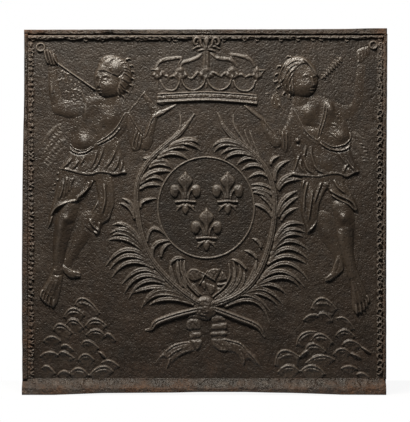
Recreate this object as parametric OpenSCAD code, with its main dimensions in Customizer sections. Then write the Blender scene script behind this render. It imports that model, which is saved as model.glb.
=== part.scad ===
// Cast-iron fireback: a thick square plate that stands on its bottom edge at the
// back of a hearth, with a moulded border and a carved relief on its front face.
// +Z is up, the relief faces -Y and the flat back faces +Y. The origin is at the
// middle of the bottom edge, halfway through the depth.

/* [Plate] */
// Width of the plate over its side edges
panel_w = 806; // [600:2:1000]
// Height of the plate from the hearth to its top edge
panel_h = 806; // [600:2:1000]
// Thickness of the plate behind the relief
plate_t = 20; // [14:1:32]

/* [Border] */
// Width of the plain band along the left edge
left_band_w = 15; // [8:1:24]
// Width of the carved strip inside the left band
left_frieze_w = 14; // [9:1:24]
// Width of the plain band along the right edge
right_band_w = 8; // [5:1:20]
// Width of the carved strip inside the right band
right_frieze_w = 19; // [10:1:26]
// Width of the plain band along the top edge
top_band_w = 15; // [8:1:24]
// Width of the carved moulding under the top band
top_frieze_w = 18; // [14:1:30]
// How far the plain bands stand proud of the field
band_h = 7; // [3:1:12]
// How far the carved strips stand proud of the field
frieze_h = 8; // [5:1:13]
// Length along the border of one carved leaf
leaf_pitch = 15.5; // [12:0.5:24]

/* [Base ledge] */
// Height of the base ledge
ledge_h = 36; // [24:1:60]
// Height of the upright front of the base ledge, below its slope
ledge_front_h = 16; // [6:1:20]
// How far the base ledge stands proud of the field
ledge_proud = 18; // [12:1:30]

/* [Medallion] */
// Width of the oval ring
ring_w = 6; // [4:0.5:10]
// Height of the oval ring above the field
ring_h = 4; // [2:0.5:7]
// Height of the three lilies above the field
lily_h = 8; // [4:0.5:12]

/* [Palms and ribbon] */
// Width of one palm leaf at its widest
leaf_w = 5.2; // [3:0.2:8]
// Height of a palm leaf above the field
leaf_h = 4.5; // [2:0.5:8]
// Height of the palm ribs and stalks above the field
rib_h = 7; // [4:0.5:10]
// Height of the ribbon above the field
ribbon_h = 5; // [3:0.5:9]
// Height of the knot above the field
knot_h = 11; // [8:0.5:15]

/* [Crown] */
// Height of the crown's band above the field
circlet_h = 11; // [6:0.5:15]
// Height of the crown's flowers above the field
flower_h = 8; // [4:0.5:12]
// Height of the crown's arches above the field
arch_h = 6; // [3:0.5:10]
// Width of the crown's arches
arch_w = 9; // [5:0.5:12]
// Width of the small bows between the crown's flowers
bow_w = 7; // [4:0.5:10]

/* [Figures] */
// Height of the heads above the field
head_h = 16; // [10:0.5:18]
// Height of the hair above the field
hair_h = 13; // [8:0.5:17]
// Height of the bare chest above the field
chest_h = 9; // [5:0.5:12]
// Height of the tunic above the field
tunic_h = 11; // [6:0.5:14]
// Height of the skirt above the field
skirt_h = 8; // [4:0.5:12]
// Height of the legs and arms above the field
limb_h = 9; // [5:0.5:14]
// Height of the trumpets above the field
trumpet_h = 5; // [3:0.5:8]
// Height of the wings above the field
wing_h = 3; // [2:0.5:6]
// Width of a wing's feather
feather_w = 9; // [5:0.5:12]
// Width of a finger or toe, and of a nose
finger_w = 7; // [4:0.5:9]
// Height of a cloth fold above the cloth
fold_h = 2.5; // [1:0.5:4]
// Width of a cloth fold
fold_w = 6; // [3:0.5:9]

/* [Clouds] */
// Height of a cloud's crest above the field
cloud_h = 7; // [4:0.5:12]

/* [Hidden] */

IRON = [0.27, 0.24, 0.21];
IRON_LIGHT = [0.38, 0.35, 0.31];
IRON_RUSTY = [0.36, 0.26, 0.19];

total_d = plate_t + max(ledge_proud, head_h);
back_y = total_d / 2;
face_y = back_y - plate_t;
left_border = left_band_w + left_frieze_w;
right_border = right_band_w + right_frieze_w;
top_border = top_band_w + top_frieze_w;
field_w = panel_w - left_border - right_border;
field_h = panel_h - ledge_h - top_border;
side_band_l = panel_h - top_band_w - ledge_h;
side_frieze_l = side_band_l - top_frieze_w;
slat_h = frieze_h / 2;
field_mid = (left_border - right_border) / 2;

// The relief is laid out on a squared sheet, columns to the right and rows down.
// The field of the plate covers these columns and rows, so the sheet spreads with
// the field. Radii on the sheet are counted in the smaller of its two pitches.
sheet_cols = 341;
sheet_rows = 335;
sheet_mid = 205.1;
sheet_bottom = 378.1;
col_pitch = field_w / sheet_cols;
row_pitch = field_h / sheet_rows;
pitch = min(col_pitch, row_pitch);

// Tall enough for a column that cuts right through any relief
clear_h = 3 * total_d;

// The hair-line gap between a form and its taller neighbour
seam = 0.1;

// The width of the sloped edge round a cloth, and round a ribbon end
cloth_edge = 5;
ribbon_edge = 3;

// ---- Places on the sheet -------------------------------------------------

// A list of two holds the left one and then the right one
LEFT = 0;
RIGHT = 1;

// The oval medallion
RING_CENTRE = [206.1, 207.6];
RING_HALF = [48, 50];
LILY_CENTRES = [[185.4, 193], [227.8, 193], [206.5, 229.5]];

// A lily about its own centre, as chains of [column, row, radius]
LILY_CHAINS = [
    [[0, -20.5, 0.8], [0, -13, 7], [0, -6, 3], [0, 8, 2.2]],
    [[-2, 5, 1.6], [-6, -2, 2.4], [-10, -4, 3.4], [-12, 0, 2.4]],
    [[2, 5, 1.6], [6, -2, 2.4], [10, -4, 3.4], [12, 0, 2.4]],
    [[-8.6, 8.6, 1.3], [8.6, 8.6, 1.3]],
    [[-1, 11, 1.4], [-9.5, 15.5, 1.1]],
    [[1, 11, 1.4], [9.5, 15.5, 1.1]],
    [[0, 11, 2.6], [0, 17, 3], [0, 21, 0.8]]
];

// The crown's band, as an outline
CIRCLET = [
    [158, 93], [182, 91.6], [206, 91.2], [232, 91.8], [256.5, 94.2],
    [257.5, 104.4], [232, 101.7], [206, 101.2], [182, 102.2], [159, 105.6]
];

// The crown's flowers, each as [column, row, size], and one flower about its own centre
CROWN_FLOWERS = [[156.5, 79, 0.75], [180.8, 77, 1], [206.3, 76, 1], [232, 77, 1], [257.5, 79, 0.75]];
FLOWER_CHAINS = [
    [[0, -13, 1], [0, -8, 3.4], [0, 0, 2.2], [0, 8, 2], [0, 14, 5.5]],
    [[-1, -2, 1.8], [-5.5, -3.5, 3]],
    [[1, -2, 1.8], [5.5, -3.5, 3]]
];

// The tops of the small bows between the flowers, the arches and what stands on them
CROWN_POINTS = [[193.5, 80], [219.3, 80], [168.5, 81], [244.5, 80]];
CROWN_ARCHES = [
    [[156, 72], [160, 60], [180, 61.5]],
    [[178.8, 69], [183, 58.5], [202.5, 54.5]],
    [[209.5, 54.5], [229, 57.5], [236, 68]],
    [[232, 58], [248, 56.5], [256.5, 71]],
    [[206, 53], [206.2, 60], [206.3, 66]]
];
FINIAL_CHAINS = [
    [[206.3, 36, 1], [206.3, 41, 4], [206.3, 48, 2.4]],
    [[202, 46, 2], [197.5, 40.5, 2.6], [195, 44.5, 2.2]],
    [[210.6, 46, 2], [215, 40, 2.6], [218, 43.8, 2.2]],
    [[198.5, 50.6, 2], [214.5, 50.6, 2]]
];

// The ribbon's knot and its bow
KNOT_CHAIN = [[200, 308, 8], [206, 308.5, 10], [212, 308, 8]];
BOW_CHAINS = [
    [[204.5, 277, 2], [198, 270.5, 2], [190.5, 271.5, 2.4], [188, 278, 2.2], [200, 286, 2]],
    [[204.5, 277, 2], [211, 269.8, 2], [219, 269.6, 2.4], [218.5, 277, 2], [207, 286, 2]],
    [[219.5, 271, 1.8], [226.5, 276, 2.6], [225, 284, 2.8], [216.5, 290, 2]],
    [[186.5, 283, 1.8], [197, 286, 2.4], [203.5, 293, 2.4]],
    [[201, 285.5, 2], [206, 292, 2.6]]
];

// The ribs of the two palms, as chains of [column, row, radius] from the knot up
RIBS = [
    [
        [214, 304, 3.2], [195, 300.5, 3], [177, 287.5, 2.8], [162, 272.5, 2.6], [150.5, 257.5, 2.5],
        [142, 237, 2.3], [137.5, 214, 2.2], [136, 192, 2.1], [140.5, 174, 2.2], [151, 158.5, 2.4],
        [166, 144.5, 2.3], [181, 132, 2], [194, 114.5, 0.9]
    ],
    [
        [198, 303.5, 3.2], [216, 303.5, 3], [236, 295.5, 2.8], [251, 283.5, 2.7], [260.5, 269, 2.6],
        [268, 249.5, 2.4], [273, 228, 2.3], [275, 205, 2.2], [273, 187, 2.2], [266, 169, 2.3],
        [252, 153, 2.4], [236.5, 140, 2.3], [225, 128, 1.9], [218, 113.5, 0.9]
    ]
];

// Palm leaves, each as [root, middle, tip]
OUTER_LEAVES = [
    [
        [[146, 250], [129, 227], [112.5, 225]],
        [[147.5, 253], [128.5, 231], [110.5, 233]],
        [[149, 256], [129, 235.5], [111.5, 235.8]],
        [[150, 259], [129.5, 240.5], [108.5, 240]],
        [[150.5, 261], [126.5, 249.5], [105.5, 266]],
        [[151.5, 264.5], [127.5, 255.5], [109.5, 269.5]],
        [[153, 268], [129.5, 262], [112, 277]],
        [[162, 278], [141.5, 269.5], [122, 284]],
        [[164, 280.5], [140.5, 275.8], [124.5, 293]],
        [[174, 289], [147, 280.5], [128.3, 299]],
        [[178, 291], [154, 287], [131, 294]],
        [[187, 297.5], [159, 289.5], [141.5, 308]],
        [[190, 300.5], [161, 293.5], [144.5, 305]],
        [[193, 304], [168, 298.6], [149.5, 304.8]],
        [[134, 218], [128.5, 207], [119, 203.5]],
        [[134, 213], [130.5, 203], [122, 198.5]],
        [[151, 156.5], [146.5, 157.8], [142.5, 158]],
        [[167, 140], [173, 130], [176.5, 120]],
        [[181, 129], [180.5, 120], [183.5, 116]]
    ],
    [
        [[252, 150], [241, 138], [235.5, 124]],
        [[256, 148], [248.2, 139], [244.5, 128.5]],
        [[257.5, 146], [253, 137], [250, 127.5]],
        [[239, 135], [233.5, 122.5], [235.2, 112]],
        [[271, 164], [273, 158.6], [280, 156]],
        [[275, 180], [278, 167], [290, 160.5]],
        [[278, 187.5], [283.5, 178.5], [297, 172]],
        [[279, 189], [287.5, 180.5], [302, 179.8]],
        [[277.5, 213], [284, 199], [297.5, 191]],
        [[279, 216], [286.5, 204.5], [298.5, 197]],
        [[281.5, 220], [288, 211.5], [298.5, 208]],
        [[275, 240], [287, 224.2], [304, 224.5]],
        [[274.5, 245], [287, 229.8], [305.5, 232.5]],
        [[273.5, 249], [287, 234.6], [303, 236.5]],
        [[271, 254], [288.5, 240.6], [308.5, 249.8]],
        [[270, 259.5], [288, 248], [308, 259]],
        [[268.5, 263.5], [287, 255.6], [306, 263.5]],
        [[261, 277.5], [286, 262.8], [309, 281]],
        [[257.5, 282.5], [281.5, 270.8], [304.5, 287]],
        [[254, 287], [283, 276.8], [300.5, 289]],
        [[250, 290], [270, 284.2], [286, 294]],
        [[247, 292], [266, 289.8], [283, 304.5]],
        [[244, 295], [262, 293.5], [277.5, 305]],
        [[223, 303.5], [248.5, 294.6], [270.5, 312]],
        [[226, 306], [254.5, 301], [269.5, 323]]
    ]
];
INNER_LEAVES = [
    [
        [[147, 241], [153.5, 228.2], [167, 237]],
        [[152.5, 259], [155, 244.5], [170, 240.5]],
        [[161, 256], [163.5, 247.5], [170.5, 243.5]],
        [[177, 286], [171.8, 274], [170.5, 263]],
        [[170.5, 263.5], [176.5, 258], [185, 259]],
        [[182, 286], [178, 273], [178, 261]],
        [[186, 290], [184, 274], [184.5, 261]],
        [[171, 144.5], [189, 139.2], [199.5, 144.5]],
        [[170, 146.5], [187, 142.8], [201, 151]],
        [[160, 154], [176, 146.8], [188.5, 150]],
        [[158.5, 157.5], [174, 153], [188.5, 160]],
        [[151.5, 163.5], [162.5, 159.8], [171, 166.5]],
        [[150, 166.5], [161.5, 163.4], [172, 168.5]],
        [[141.5, 180], [154.5, 171], [172, 171.8]],
        [[140.5, 183.5], [153, 176.5], [163.5, 181.5]],
        [[140, 188.5], [150.5, 184], [161, 186]],
        [[140.5, 207], [144, 200.5], [156.5, 198.5]]
    ],
    [
        [[246, 147.5], [227, 140.2], [213, 146.5]],
        [[246, 149.5], [226, 144], [214.5, 152]],
        [[252.5, 153.5], [235.5, 147.5], [221, 154.5]],
        [[255, 157], [237, 152.5], [224.5, 160]],
        [[259, 160.5], [247, 157.6], [237, 165]],
        [[264, 168], [252.5, 164.6], [241.5, 170.5]],
        [[269, 178], [259.5, 173], [248, 178.5]],
        [[272.5, 189.5], [262.5, 184.5], [251, 185]],
        [[273, 195], [262, 189.2], [251, 189]],
        [[273, 203.5], [264, 194], [253, 192.5]],
        [[272.5, 217], [264.5, 207.5], [253.5, 204.5]],
        [[272, 208.5], [267, 200.5], [259.5, 196]],
        [[261, 247], [257.8, 241], [252, 238.5]],
        [[256.5, 258], [251.5, 252.6], [244.5, 250.5]],
        [[239, 294], [252, 276], [256.5, 259]],
        [[246, 268.5], [238.5, 261.5], [231, 259.5]],
        [[217.5, 297.5], [232, 284], [233.5, 268]],
        [[219, 300], [237.5, 282.5], [239.5, 266]],
        [[223, 301.5], [240.5, 286.5], [244, 271]]
    ]
];

// The cut stalks below the knot
STALKS = [
    [[200, 309, 2.4], [176, 315, 2.7], [156.5, 322.2, 2.6], [151.5, 328.6, 1.3], [145.5, 330, 0.8]],
    [[212, 308, 2.4], [237, 317.5, 2.7], [257.5, 326, 2.5], [264.5, 337, 0.8]]
];

// The two ends of the ribbon, as outlines, and the folds across them
TAILS = [
    [
        [190, 314], [200, 315.5], [200.5, 330], [203.5, 341.5], [200, 348], [196.5, 351], [184, 354],
        [179, 357.5], [171, 364.5], [165.5, 371], [166.5, 362], [162.5, 357], [154, 365], [158, 358],
        [162, 353.5], [169, 346.5], [176, 342.3], [187.5, 341], [190, 336], [185.5, 329], [185.5, 321]
    ],
    [
        [211, 316], [222, 315], [227.5, 322], [228, 337.5], [234, 340], [241, 342], [248, 349], [256, 356],
        [261.5, 368], [254.5, 364], [249, 359.5], [246, 362], [243, 367.5], [238, 357], [232, 352.4],
        [219, 351], [212, 346], [210.5, 334]
    ]
];
TAIL_FOLDS = [
    [
        [[187, 321.5], [193, 329.5], [200, 331]],
        [[189.5, 334.5], [196, 338], [202.5, 338.5]],
        [[200, 343.5], [187, 346], [175, 353]],
        [[177, 344.5], [166, 353.5], [158, 361]]
    ],
    [
        [[212, 330.5], [220, 330], [226.5, 324]],
        [[212, 337], [220, 338], [227, 337.5]],
        [[214, 344.5], [226, 348.5], [238, 354.5]],
        [[236, 342.5], [248, 352.5], [258, 364]]
    ]
];

// The two figures. Heads, hair and limbs are chains, noses, toes, fingers and
// feathers are strokes, and the chest, tunic and skirt are outlines
HEADS = [[[111, 77, 13], [104, 88.5, 9]], [[301, 76, 13], [308.5, 87.5, 9]]];
NOSES = [[[100, 74], [94.6, 79.5], [95.6, 84.5]], [[313, 73.5], [319.4, 79], [318, 84]]];
CURLS = [
    [
        [[100.5, 64, 4.2], [108, 58.5, 5], [117, 57, 6], [125.5, 61, 6], [131.5, 68, 6], [132.5, 77, 5.8],
         [130, 86, 5.8], [125, 94, 5]],
        [[112.5, 67, 6.6], [121, 72, 6], [123.5, 82, 5.4], [120.5, 91, 4.4]]
    ],
    [
        [[314.5, 66, 4], [306.5, 59.5, 5], [298, 58, 5.8], [290, 62.5, 6], [284.5, 70, 6], [282.5, 78.5, 5.2],
         [285.5, 86.5, 5.6], [291, 93, 4.6]],
        [[300, 66.5, 6], [292.5, 72.5, 6], [291.5, 82, 5.4]]
    ]
];
CHESTS = [
    [
        [84, 99], [100, 97], [121, 97], [130, 110], [125, 114], [117.5, 125.5], [107, 135.5],
        [95, 143.3], [87, 149.5], [77, 152], [69.5, 147], [67, 138], [68, 125], [72, 117], [80, 112]
    ],
    [
        [291, 111], [300, 98], [318, 97], [330, 102], [338, 112], [349, 128], [352, 140], [350, 146],
        [344, 149.6], [337, 150.6], [329, 148.2], [320, 142.2], [313, 136.6], [306, 131.6], [299, 122.8]
    ]
];
BREASTS = [[83.5, 137, 7], [337.5, 136, 7.6]];
TUNICS = [
    [
        [125, 114.2], [117.5, 126], [107, 136], [95, 143.8], [87, 150], [77, 152.6], [69, 149],
        [66, 158], [58.5, 169.3], [64, 170], [72, 172.3], [82, 174.8], [90, 175.3], [98, 173.6],
        [105, 172.6], [111, 174.3], [118, 175.6], [127, 173.5], [125, 160], [125, 142], [130, 128],
        [130, 112]
    ],
    [
        [290, 111.5], [298.6, 123.4], [305.6, 132.2], [313, 137.2], [320, 142.8], [328.6, 148.8],
        [337, 151.2], [345, 150.2], [350.6, 146.6], [353, 158], [359, 170], [357, 173.5],
        [351, 174.5], [346.5, 177.4], [341, 174.5], [333, 174], [326, 176.5], [319, 177],
        [310, 175.4], [302, 175.4], [292.5, 173.4], [294.5, 162], [290, 146], [288, 128]
    ]
];
TUNIC_FOLDS = [
    [
        [[125, 114], [113, 131.5], [95, 144]],
        [[93.5, 144.2], [80, 152.8], [69, 144]],
        [[103.5, 144], [101, 160], [91, 173]],
        [[113.5, 150], [108.5, 161.5], [101.5, 171.5]],
        [[119, 156], [116, 164.5], [111.5, 172.5]],
        [[92, 154], [91, 163], [88, 172]],
        [[84.5, 156], [81.5, 164], [80, 172]],
        [[68, 157], [64, 166.5], [60, 169]]
    ],
    [
        [[291, 112], [302, 129], [318.5, 140.5]],
        [[319.5, 141.5], [334, 151.2], [350.5, 144.5]],
        [[327, 104], [323, 121], [318.5, 139]],
        [[300, 155], [297, 164], [293.5, 172]],
        [[303.5, 157], [307, 166], [312.5, 173.5]],
        [[300.5, 160], [300, 168], [303, 174]],
        [[313, 166], [317, 171.5], [323, 174.5]],
        [[341, 153], [347, 163], [353, 172.5]],
        [[343, 152], [351, 162], [358, 170]]
    ]
];
SKIRTS = [
    [
        [63, 164], [110, 166], [112.5, 177], [114.6, 190], [114.6, 203], [112, 212], [109, 221], [104, 224.5], [101, 231],
        [97, 236], [92, 231], [87, 222.3], [92.5, 209], [97.5, 198], [96.2, 190], [94, 182.5],
        [90, 191], [82, 200], [72, 205], [62, 209], [55, 214.5], [51.5, 223], [46, 231.5],
        [49, 214], [54, 196], [57, 183]
    ],
    [
        [304.5, 168], [341, 167], [345, 178.5], [346.4, 184], [349.8, 189.4], [353.2, 195], [357, 204], [358.5, 213.6],
        [351, 210], [344, 206.2], [336, 201.8], [331, 196.4], [328.4, 190], [325, 193.5],
        [320.6, 203], [319, 213], [317, 223], [312, 230.6], [307.5, 235.4], [304.6, 226],
        [301.5, 215], [300.5, 205], [301.5, 192]
    ]
];
SKIRT_FOLDS = [
    [
        [[93, 179], [84.5, 196], [58, 207]],
        [[58, 209], [51, 216.5], [47, 230]],
        [[96.8, 197], [92.8, 209], [87.3, 221]],
        [[112.8, 179], [114.4, 199], [108.5, 219.5]],
        [[77, 178], [71, 186], [69, 199]],
        [[68, 177], [64.5, 185], [63, 199]]
    ],
    [
        [[304, 179], [301.5, 193], [300.2, 209]],
        [[309.5, 179], [307.5, 186], [306, 192]],
        [[324.5, 193], [319, 203], [316.5, 214]],
        [[316, 217], [313.5, 226], [308.5, 232.5]],
        [[313, 190], [311.5, 204], [309, 221]],
        [[330, 189], [341, 197], [354, 207.5]],
        [[333.5, 197.5], [344, 203.5], [354.5, 210]],
        [[344.5, 179], [347.5, 187], [353, 194.5]]
    ]
];
FRONT_LEGS = [
    [
        [70, 206, 8.5], [66, 218, 8.8], [61, 234, 7.6], [58.2, 252, 5.4], [57.6, 266, 4.6],
        [56.5, 276, 5.4], [52.5, 288, 7.6], [49.5, 299, 7]
    ],
    [
        [342.5, 207, 9], [345, 219, 9.4], [348.5, 236, 8], [350, 253, 5.6], [352, 267, 4.6],
        [354, 277, 5.4], [358, 290, 7.4], [361.5, 302, 6.8]
    ]
];
TOES = [
    [
        [[46, 286], [42.5, 290.5], [40, 296]],
        [[49, 289], [45, 295], [42.5, 301]],
        [[52, 291], [48.5, 298], [46.5, 304]],
        [[55, 294], [53, 301], [51.5, 307.5]]
    ],
    [
        [[363, 288], [366.5, 293], [368.8, 299.5]],
        [[360.5, 291], [364.5, 298], [367, 304]],
        [[358, 294], [361.5, 302], [363.5, 308.5]],
        [[354.5, 297], [357, 305], [358.5, 313]]
    ]
];
BACK_LEGS = [
    [
        [86, 222, 7.5], [81, 235, 7.6], [74, 248, 5.8], [66.5, 260, 4.2], [65, 268, 4.6],
        [72, 274.2, 4.4], [78.5, 274.4, 3]
    ],
    [
        [325, 224, 7.4], [331, 236, 7.2], [335.5, 248, 5.2], [338.5, 260, 3.8], [337, 268, 4.6],
        [331, 273.6, 4], [325, 276.4, 2.6]
    ]
];
CROWN_ARMS = [
    [
        [129, 114, 4], [136.5, 131, 5.6], [144.5, 146, 5.4], [148, 134, 4.6], [154, 119, 3.8],
        [162, 110.5, 4.6], [176, 104.5, 1.4]
    ],
    [
        [290, 115, 4], [283.5, 131, 5.4], [277, 144, 5], [270.5, 130, 4.6], [264, 118.5, 4],
        [256, 112, 4], [245, 105.4, 1.4]
    ]
];
SLEEVES = [
    [[131, 121, 5], [134.5, 134, 6], [136, 149, 3.4]],
    [[289, 121, 5], [285, 134, 5.6], [283, 149, 3.2]]
];
THUMBS = [
    [[143.8, 93, 1.4], [149, 101, 2.8], [156, 110, 3.6]],
    [[267, 94.6, 1.4], [275, 97.5, 2.4], [278.5, 104, 2.6], [272, 112, 3.6]]
];
TRUMPET_ARMS = [
    [
        [90, 106.5, 8.6], [76, 108, 9.4], [62, 108, 8], [54.5, 100, 6], [53.5, 84, 5.4], [51.5, 68, 4.4]
    ],
    [[333, 108.5, 8], [347, 112, 6.4], [357, 104, 5], [359.5, 86, 4.4], [361.5, 68, 4]]
];
FISTS = [[[46.5, 57, 3.2], [54, 59.5, 4.2]], [[357, 59, 4.6], [365.5, 54.5, 4.2]]];
FINGERS = [
    [
        [[45.6, 50], [44.8, 57], [45.4, 63.5]],
        [[48.2, 51], [47.8, 57.5], [49.8, 64]],
        [[51, 52.5], [50.9, 59], [52.8, 64.5]],
        [[54, 55], [54.2, 60], [55.4, 65]]
    ],
    [
        [[368.5, 47], [368.8, 51.5], [369.5, 55.5]],
        [[364, 49], [364.8, 55], [366, 60]],
        [[360, 51], [361, 57.5], [362, 62.5]],
        [[356, 53], [357, 59.5], [358.5, 64.5]]
    ]
];
TRUMPET_TUBES = [
    [[94.8, 89.5, 1.2], [57, 63.2, 1.3], [44.5, 52.5, 2]],
    [[321, 80.5, 1.3], [331.5, 68.5, 3.2], [341, 60, 2.2], [355, 53.6, 1.4], [368, 47.4, 1.8]]
];
TRUMPET_BELLS = [[40.4, 47.4, 5.2], [373.2, 44.6, 5]];
FEATHERS = [
    [
        [[64, 140], [54, 150], [44, 164]],
        [[61, 133], [52, 142], [44, 153]],
        [[60, 125], [51, 132], [43, 142]],
        [[64, 148], [57, 156], [48, 166]]
    ],
    [
        [[353, 140], [363, 152], [371, 166]],
        [[354, 132], [364, 142], [372, 154]],
        [[352, 150], [360, 161], [366, 174]]
    ]
];

// Clouds: each puff is an arch [left end, crest, right end]
CLOUDS = [
    [
        [[74.5, 305], [84.5, 298.6], [99.5, 313]],
        [[63.5, 317], [72.5, 308.4], [84, 315.5]],
        [[66, 324], [74, 319.6], [83.5, 328]],
        [[53.2, 330], [60.5, 324], [72, 333]],
        [[85, 326], [95, 319], [106.5, 326]],
        [[86, 335], [96, 330], [105.5, 336.5]],
        [[105.5, 335], [109.5, 334], [115.5, 340.5]],
        [[43, 341], [51.5, 336.6], [60.5, 341]],
        [[81.5, 345], [87.5, 340.8], [98.5, 348]],
        [[61, 346.5], [66.5, 345], [73, 350.5]],
        [[40, 356], [49, 352], [58, 355]],
        [[59, 353.5], [64, 352], [74, 358]],
        [[78, 360], [85, 354.2], [94, 359.8]],
        [[98.5, 352], [102, 353.4], [105.5, 357.5]],
        [[101.5, 363], [109.5, 360.6], [119, 366.5]],
        [[89, 375.5], [101.5, 366.4], [113, 371.5]],
        [[57.5, 375], [63.5, 371], [70, 374]],
        [[69, 374], [78.5, 368.2], [88, 375]],
        [[42, 368], [47.5, 366.2], [55, 373.5]]
    ],
    [
        [[311.5, 308], [322.5, 298], [337, 309.5]],
        [[303.5, 320], [310.5, 315], [318, 316]],
        [[318, 315.5], [325, 313.6], [332.5, 321]],
        [[337, 318.4], [345.5, 318.6], [354.5, 329]],
        [[296.5, 345], [303, 333.6], [317, 332]],
        [[311, 341], [320.5, 334], [333, 342.5]],
        [[336, 335.5], [344.5, 330], [355, 336.5]],
        [[305.5, 350.5], [313, 343.8], [326, 351]],
        [[342.5, 345], [351, 340.8], [361.5, 346]],
        [[361.5, 347], [366, 349.5], [371, 353]],
        [[275, 365], [282.5, 350.5], [300, 357]],
        [[300, 357], [304, 352.5], [309, 350.5]],
        [[333.5, 354.5], [341.5, 348.6], [351, 353.5]],
        [[350, 353.5], [355.5, 354.6], [361, 358]],
        [[306, 363], [320, 355.8], [334.5, 359.5]],
        [[278, 372], [288.5, 365.6], [299.5, 371]],
        [[301, 371], [313, 365.6], [325.5, 374]],
        [[341.5, 368.5], [349.5, 366], [357.5, 369]],
        [[357, 374.5], [362.5, 373], [369.5, 377.5]]
    ]
];
BROOCH = [298.2, 141, 2.6];
SASH_KNOT = [326.8, 184.6, 3];

// ---- Geometry helpers ----------------------------------------------------

// A place on the sheet, as millimetres on the field
function at(p) = [
    field_mid + (p[0] - sheet_mid) * col_pitch,
    ledge_h + (sheet_bottom - p[1]) * row_pitch
];

// A list of places, as millimetres on the field
function places(list) = [for (p = list) at(p)];

// Points on the smooth curve from a through m to b
function bend(a, m, b, steps = 3) =
    let (c = 2 * m - (a + b) / 2)
    [for (i = [0 : steps]) let (t = i / steps) a * (1 - t) * (1 - t) + 2 * c * t * (1 - t) + b * t * t];

// The unit vector across a path at its point i
function across(path, i) =
    let (d = path[min(i + 1, len(path) - 1)] - path[max(i - 1, 0)])
    [-d[1], d[0]] / norm(d);

// How full a stroke is at the share t of its length, where its two ends are drawn in
function fullness(t, first, last) =
    let (u = 1 - 2 * t)
    t < 0.5 ? 1 - (1 - first) * u * u : 1 - (1 - last) * u * u;

// Lays flat relief, drawn in X and Y and raised in Z, on the front of the plate
module on_face() translate([0, face_y, 0]) rotate([90, 0, 0]) children();

// Everything over the outline of a form, from below the field to above all relief
module over() translate([0, 0, -1]) linear_extrude(clear_h) offset(delta = seam) projection() children();

// A form less what its taller neighbours, the other children, stand on
module below() difference() {
    children(0);
    for (i = [1 : $children - 1])
        over() children(i);
}

// A carved stroke with a ridge along its middle, on a path in millimetres
module stroke(path, w, h, first = 0.6, last = 0.3) {
    n = len(path);
    points = [
        for (i = [0 : n - 1])
            let (
                full = fullness(i / (n - 1), first, last),
                side = across(path, i) * w * full / 2,
                p = path[i]
            )
            each [
                [p[0] + side[0], p[1] + side[1], 0],
                [p[0], p[1], h * full],
                [p[0] - side[0], p[1] - side[1], 0]
            ]
    ];
    ends = [[0, 1, 2], [3 * n - 1, 3 * n - 2, 3 * n - 3]];
    sides = [
        for (i = [0 : n - 2], k = [0 : 2])
            let (a = 3 * i + k, b = 3 * i + (k + 1) % 3)
            each [[a, a + 3, b + 3], [a, b + 3, b]]
    ];
    polyhedron(points, concat(ends, sides), convexity = 4);
}

// Carved strokes through three places of the sheet each
module strokes(list, w, h, first = 0.6, last = 0.3, steps = 3)
    for (s = list)
        stroke(bend(at(s[0]), at(s[1]), at(s[2]), steps), w, h, first, last);

// One bead of a chain: a low boss at [column, row, radius], rounder where it is large
module bead(b, h) translate(at(b)) {
    r = b[2] * pitch;
    large = b[2] > 4;
    cylinder(r1 = r, r2 = 0.5 * r, h = h, $fn = large ? 10 : 6);
    if (large)
        cylinder(r1 = r, r2 = 0.88 * r, h = 0.55 * h, $fn = 10);
}

// Beads joined one to the next, as a limb, a rib or a petal
module chain(beads, h)
    for (i = [0 : len(beads) - 2])
        hull() {
            bead(beads[i], h);
            bead(beads[i + 1], h);
        }

module chains(list, h) for (c = list) chain(c, h);

// A flower or lily: its chains, placed about a centre and scaled
module sprig(list, centre, size, h)
    for (c = list)
        chain([for (b = c) [centre[0] + b[0] * size, centre[1] + b[1] * size, b[2] * size]], h);

// A padded shape inside an outline of places, with a sloped edge
module pad(outline, h, edge = cloth_edge)
    minkowski() {
        linear_extrude(0.02) offset(delta = -edge) polygon(places(outline));
        cylinder(r1 = edge, r2 = 0.4 * edge, h = h, $fn = 6);
    }

// A pad with folds lying on it
module cloth(outline, folds, h, edge = cloth_edge) {
    sunk = 0.1 * h;
    pad(outline, h, edge);
    translate([0, 0, h - sunk])
        intersection() {
            strokes(folds, fold_w, fold_h + sunk, 0.6, 0.6);
            linear_extrude(clear_h) offset(delta = -edge / 2) polygon(places(outline));
        }
}

// ---- Plate and border ----------------------------------------------------

module back_plate() color(IRON)
    translate([-panel_w / 2, face_y, 0]) cube([panel_w, plate_t, panel_h]);

module left_band() color(IRON_RUSTY) on_face()
    translate([-panel_w / 2, ledge_h]) cube([left_band_w, side_band_l, band_h]);

module right_band() color(IRON) on_face()
    translate([panel_w / 2 - right_band_w, ledge_h]) cube([right_band_w, side_band_l, band_h]);

module top_band() color(IRON_RUSTY) on_face()
    translate([-panel_w / 2, panel_h - top_band_w]) cube([panel_w, top_band_w, band_h]);

module base_ledge() color(IRON_RUSTY)
    translate([-panel_w / 2, face_y, 0])
        rotate([90, 0, 90])
            linear_extrude(panel_w)
                polygon([[0, 0], [0, ledge_h], [-ledge_proud, ledge_front_h], [-ledge_proud, 0]]);

// A carved strip w wide, running up from the origin: slanted leaves on a thin slat
module frieze(length, w) {
    count = floor(length / leaf_pitch);
    step = length / count;
    cube([w, length, slat_h]);
    for (i = [0 : count - 1])
        translate([0, (i + 0.5) * step])
            stroke(
                [[0.88 * w, 0.24 * step], [0.12 * w, -0.24 * step]],
                0.75 * step, frieze_h, 0.9, 0.7
            );
}

module left_frieze() color(IRON) on_face() below() {
    translate([-panel_w / 2 + left_band_w, ledge_h]) frieze(side_frieze_l, left_frieze_w);
    trumpet(LEFT);
}

module right_frieze() color(IRON_LIGHT) on_face() below() {
    translate([panel_w / 2 - right_band_w, ledge_h]) mirror([1, 0]) frieze(side_frieze_l, right_frieze_w);
    trumpet(RIGHT);
}

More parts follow.
